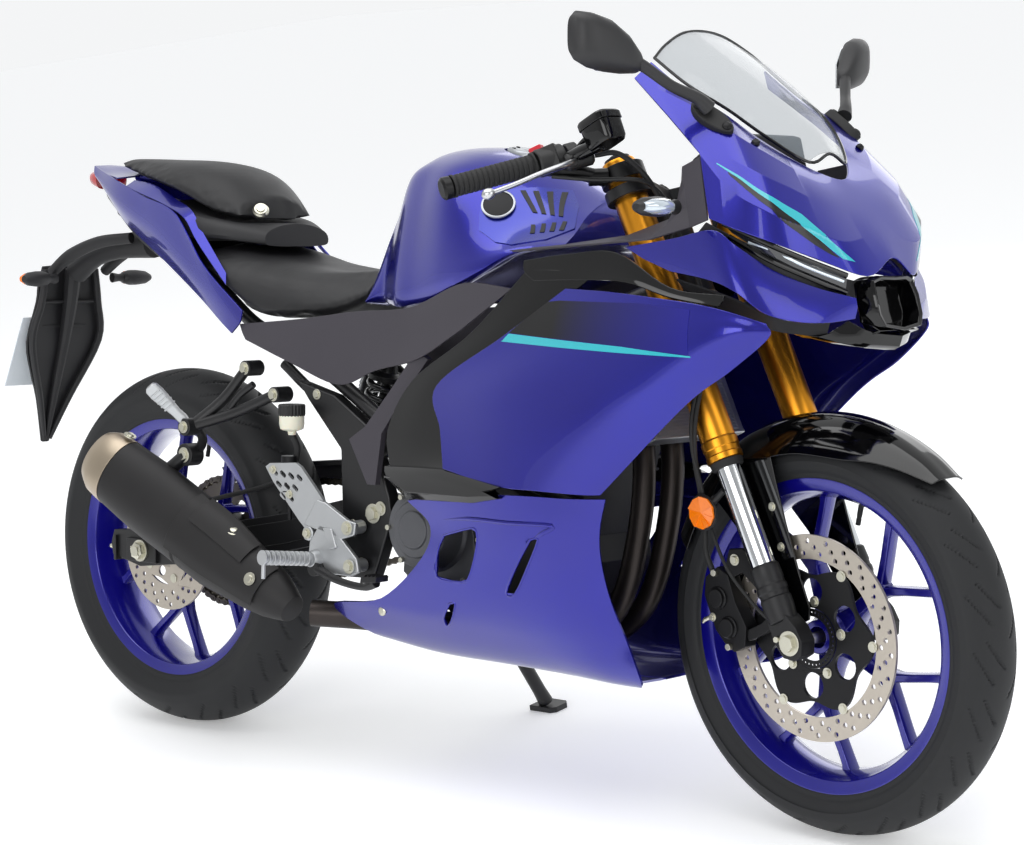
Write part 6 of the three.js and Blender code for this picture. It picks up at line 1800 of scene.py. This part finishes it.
turquoise = finish("turquoise_printed_film", "18a6b2", 0.2, grain=3, depth=0.01, mottle=0.03, Coat_Weight=0.8)
black_film = finish("black_printed_film", "060608", 0.2, grain=3, depth=0.01, mottle=0.03)
inlay_blue = finish("bright_blue_lacquer_inlay", "101f92", 0.28, 0.6, grain=0.9, depth=0.004, mottle=0.08,
                    Coat_Weight=0.8, Coat_Roughness=0.1)
panel_right, cowl_shape = flip(side_shape), surface(cowl_grid, 3.5, 6, 1, (500, 0, 850))
films = [
    ("nose_line", cowl_shape, turquoise, [(605, 963), (642, 944), (688, 914), (714, 892), (741, 862),
                                          (761, 826)],
     [(606, 961), (643, 940), (690, 907), (718, 880), (736, 856), (753, 830)], 0.6),
    ("nose_shadow", cowl_shape, black_film, [(624, 950), (643, 940), (690, 907), (718, 880), (736, 856),
                                             (751, 831)],
     [(626, 947), (652, 928), (694, 897), (718, 867), (731, 850), (744, 836)], 0.5),
    ("side_line", panel_right, turquoise, [(250, 718), (362, 712), (482, 706), (603, 696)],
     [(236, 706), (365, 701), (483, 697), (603, 694)], 0.6),
    ("tank_inlay", tank_shape, inlay_blue, [(139, 905), (158, 931), (193, 935), (229, 930), (262, 905)],
     [(150, 870), (185, 852), (218, 848), (267, 856), (290, 872)], 1.4),
]
for name, shape, material, upper, lower, lift in films:
    film = patch(shape, upper, lower, lift)
    for suffix, turn in DRAWN_RIGHT:
        make(f"{name}_{suffix}", turn(film), material, "chassis", smooth_angle=60)
fading = new_material("black_film_fading_forward")
tree = fading.node_tree
place = node(tree, "ShaderNodeTexCoord")
parts_of = node(tree, "ShaderNodeSeparateXYZ", {"Vector": place.outputs["Object"]})
ramp = node(tree, "ShaderNodeMapRange", {"Value": parts_of.outputs["X"]}, From_Min=0.34, From_Max=0.6)
tone = node(tree, "ShaderNodeMix", {"Factor": ramp.outputs["Result"]}, data_type="RGBA")
tone.inputs["A"].default_value = linear("050507")
tone.inputs["B"].default_value = linear("1c1a80")
fading_bsdf = node(tree, "ShaderNodeBsdfPrincipled", {"Base Color": tone.outputs["Result"]}, Metallic=0.2,
                   Roughness=0.3, Specular_IOR_Level=0.3, Coat_Weight=0.3, Coat_Roughness=0.06)
node(tree, "ShaderNodeOutputMaterial", {"Surface": fading_bsdf.outputs["BSDF"]})
band = patch(panel_right, [(262, 728), (320, 766), (344, 768), (506, 767), (597, 760)],
             [(250, 719), (300, 716), (362, 713), (482, 707), (600, 697)], 0.5)
for suffix, turn in DRAWN_RIGHT:
    make(f"side_band_{suffix}", turn(band), fading, "chassis", smooth_angle=60)
vents = [patch(tank_shape, [(178 + 15 * k, 929 - k), (184 + 15 * k, 929 - k)],
               [(212 + 13 * k, 896 - 2 * k), (219 + 13 * k, 895 - 2 * k)], 2.6, 3, 6) for k in range(4)]
vents += [patch(tank_shape, [(222 + 14 * k, 877 + 1.5 * k), (228 + 14 * k, 877 + 1.5 * k)],
                [(232 + 13 * k, 864 + 1.5 * k), (239 + 13 * k, 864 + 1.5 * k)], 2.6, 3, 4) for k in range(4)]
badge_spot = Vector((163, -147, 907))
badge_out = Vector((0.42, -0.68, 0.60)).normalized()
badge = merge(
    turned_on(badge_spot - badge_out * 4, badge_spot + badge_out * 5,
              [(0, 25), (0.85, 25), (0.95, 23.5), (1, 22)], 48),
)
badge_ring = turned_on(badge_spot + badge_out * 3, badge_spot + badge_out * 6,
                       [(0, 26.4), (0.7, 26.4), (1, 24.6), (1, 23.4), (0.4, 23)], 48)
for suffix, turn in DRAWN_RIGHT:
    make(f"tank_vents_{suffix}", turn(merge(*vents)), grained_black, "chassis")
    make(f"tank_badge_{suffix}", turn(badge), carrier_black, "chassis", bevel=0.6)
    make(f"tank_badge_ring_{suffix}", turn(badge_ring), cap_metal, "chassis")

# ---------------------------------------------------------------- belly openings and winglets
# The right belly panel is pierced for the clutch cover and for two cooling slots, each with a raised
# lip. A gloss black winglet closes the gap between the belly and the side panel.
def pierce(piece, outline, sign):
    """Opening through a panel, with an outline of (x, z) in side view."""
    carve(piece, loft([[(x, sign * y, z) for x, z in outline] for y in (150, 290)]))


BIG_OPENING = [(115, 409), (179, 425), (192, 420), (185, 392), (158, 345), (135, 338), (86, 342), (97, 384)]
LONG_SLOT = [(299, 417), (314, 418), (284, 372), (253, 331), (235, 331), (262, 372)]
SHORT_SLOT = [(105, 301), (119, 303), (108, 284), (92, 268), (80, 262), (82, 276)]
for suffix, sign in (("left", 1), ("right", -1)):
    belly = bpy.data.objects[f"belly_panel_{suffix}"]
    base = belly_shape if sign > 0 else flip(belly_shape)
    turn = (lambda s: s) if sign < 0 else flip
    for k, outline in enumerate((BIG_OPENING, LONG_SLOT, SHORT_SLOT)):
        pierce(belly, outline, sign)
        skin = BVHTree.FromPolygons([Vector(p) for p in flip(belly_shape)[0]], flip(belly_shape)[1])
        lip = []
        for x, z in smooth([*outline, outline[0]], 3):
            hit = skin.ray_cast(Vector((x, -500, z)), Vector((0, 1, 0)))[0]
            lip.append((x, (hit.y if hit else -200) + 1.0, z))
        make(f"belly_lip_{suffix}_{k + 1}", turn(sweep(lip, 2.2, 8)), lacquer, "chassis")
    ridge = []
    for x, z in smooth([(108, 432), (180, 440), (260, 440), (342, 441), (322, 428), (308, 420)], 4):
        hit = skin.ray_cast(Vector((x, -500, z)), Vector((0, 1, 0)))[0]
        ridge.append((x, hit.y + 1.5, z))
    make(f"belly_ridge_{suffix}", turn(sweep(ridge, [1, 4, 4, 4, 4, 2], 10)), lacquer, "chassis")
WING = [(-32, 200, 505), (50, 222, 509), (128, 240, 511), (262, 262, 494), (238, 262, 486), (258, 262, 476),
        (204, 258, 466), (42, 228, 459), (-21, 205, 485)]
wing = loft([[(x, y + d, z) for x, y, z in WING] for d in (-24, -4)] + [
    [(x * 0.96 + 4, y + 2, 486 + (z - 486) * 0.55) for x, y, z in WING]])
for suffix, turn in reversed(DRAWN_LEFT):
    make(f"winglet_{suffix}", turn(wing), gloss_black, "chassis", bevel=1.5)
make("belly_screws", merge(*[turned_on((x, -y, z), (x, -y - 4, z), [(0, 8), (0.5, 8), (1, 5)], 24)
                             for x, y, z in ((-64, 167, 271),)]), zinc, "chassis",
     bevel=0.4)

# ---------------------------------------------------------------- cockpit panels and nose trim
# Grained dark grey panels close the nose behind its edge, down to the air scoops. The intake has a
# hollow black mouth, and a black chin joins the cheeks below it.
INNER = [
    [(577, 193, 972), (527, 168, 960), (521, 164, 892), (415, 150, 863), (300, 150, 850), (222, 168, 845)],
    [(607, 214, 884), (572, 208, 874), (500, 206, 858), (420, 199, 853), (318, 196, 846), (222, 190, 840)],
]
inner_panel = surface(INNER, 3, 3, 1, (450, 0, 850))
screw = turned_on((627, -129, 990), (630, -133, 995), [(0, 6), (0.6, 6), (1, 4)], 20)
for suffix, turn in DRAWN_LEFT:
    make(f"cockpit_panel_{suffix}", turn(inner_panel), grained_grey, "chassis",
         bevel=0.8,
         smooth_angle=14)
    make(f"nose_screw_{suffix}", turn(flip(screw)), carrier_black, "chassis")
MOUTH = [(0, 804, 776), (34, 805, 774), (50, 800, 772), (55, 780, 779), (55, 752, 786), (46, 736, 790),
         (0, 730, 792)]


def mouth_ring(grow, back):
    right = [(x - back, y * grow, 767 + (z - 767) * grow) for y, z, x in MOUTH]
    return right + [(x, -y, z) for x, y, z in reversed(right[1:-1])]


make("intake_mouth", loft([mouth_ring(0.98, 34), mouth_ring(1.04, 4), mouth_ring(1.0, -2),
                           mouth_ring(0.88, 0),
                           mouth_ring(0.8, 26)]), gloss_black, "chassis", bevel=1.2)
lining = surface([
    [(540, 196, 800), (640, 206, 776), (700, 190, 752), (744, 112, 744)],
    [(560, 168, 760), (640, 168, 742), (690, 150, 728), (724, 92, 722)],
], 3, 3, 4, (560, 0, 900))
lamp_back = surface([
    [(598, 206, 880), (650, 196, 856), (694, 168, 834), (724, 122, 814), (744, 60, 800)],
    [(556, 200, 842), (630, 200, 832), (680, 176, 804), (712, 132, 784), (740, 66, 770)],
], 3, 3, 4, (560, 0, 900))
lining = merge(lining, lamp_back)
make("nose_lining_left", lining, grained_black, "chassis")
make("nose_lining_right", flip(lining), grained_black, "chassis")
chin = surface([
    [(748, 74, 744), (772, 50, 728), (790, 0, 722)],
    [(720, 108, 722), (752, 62, 708), (776, 0, 702)],
    [(668, 150, 738), (690, 80, 716), (706, 0, 706)],
], 4, 3, 4, (700, 0, 780))
make("chin_left", chin, gloss_black, "chassis", bevel=0.8)
make("chin_right", flip(chin), gloss_black, "chassis", bevel=0.8)
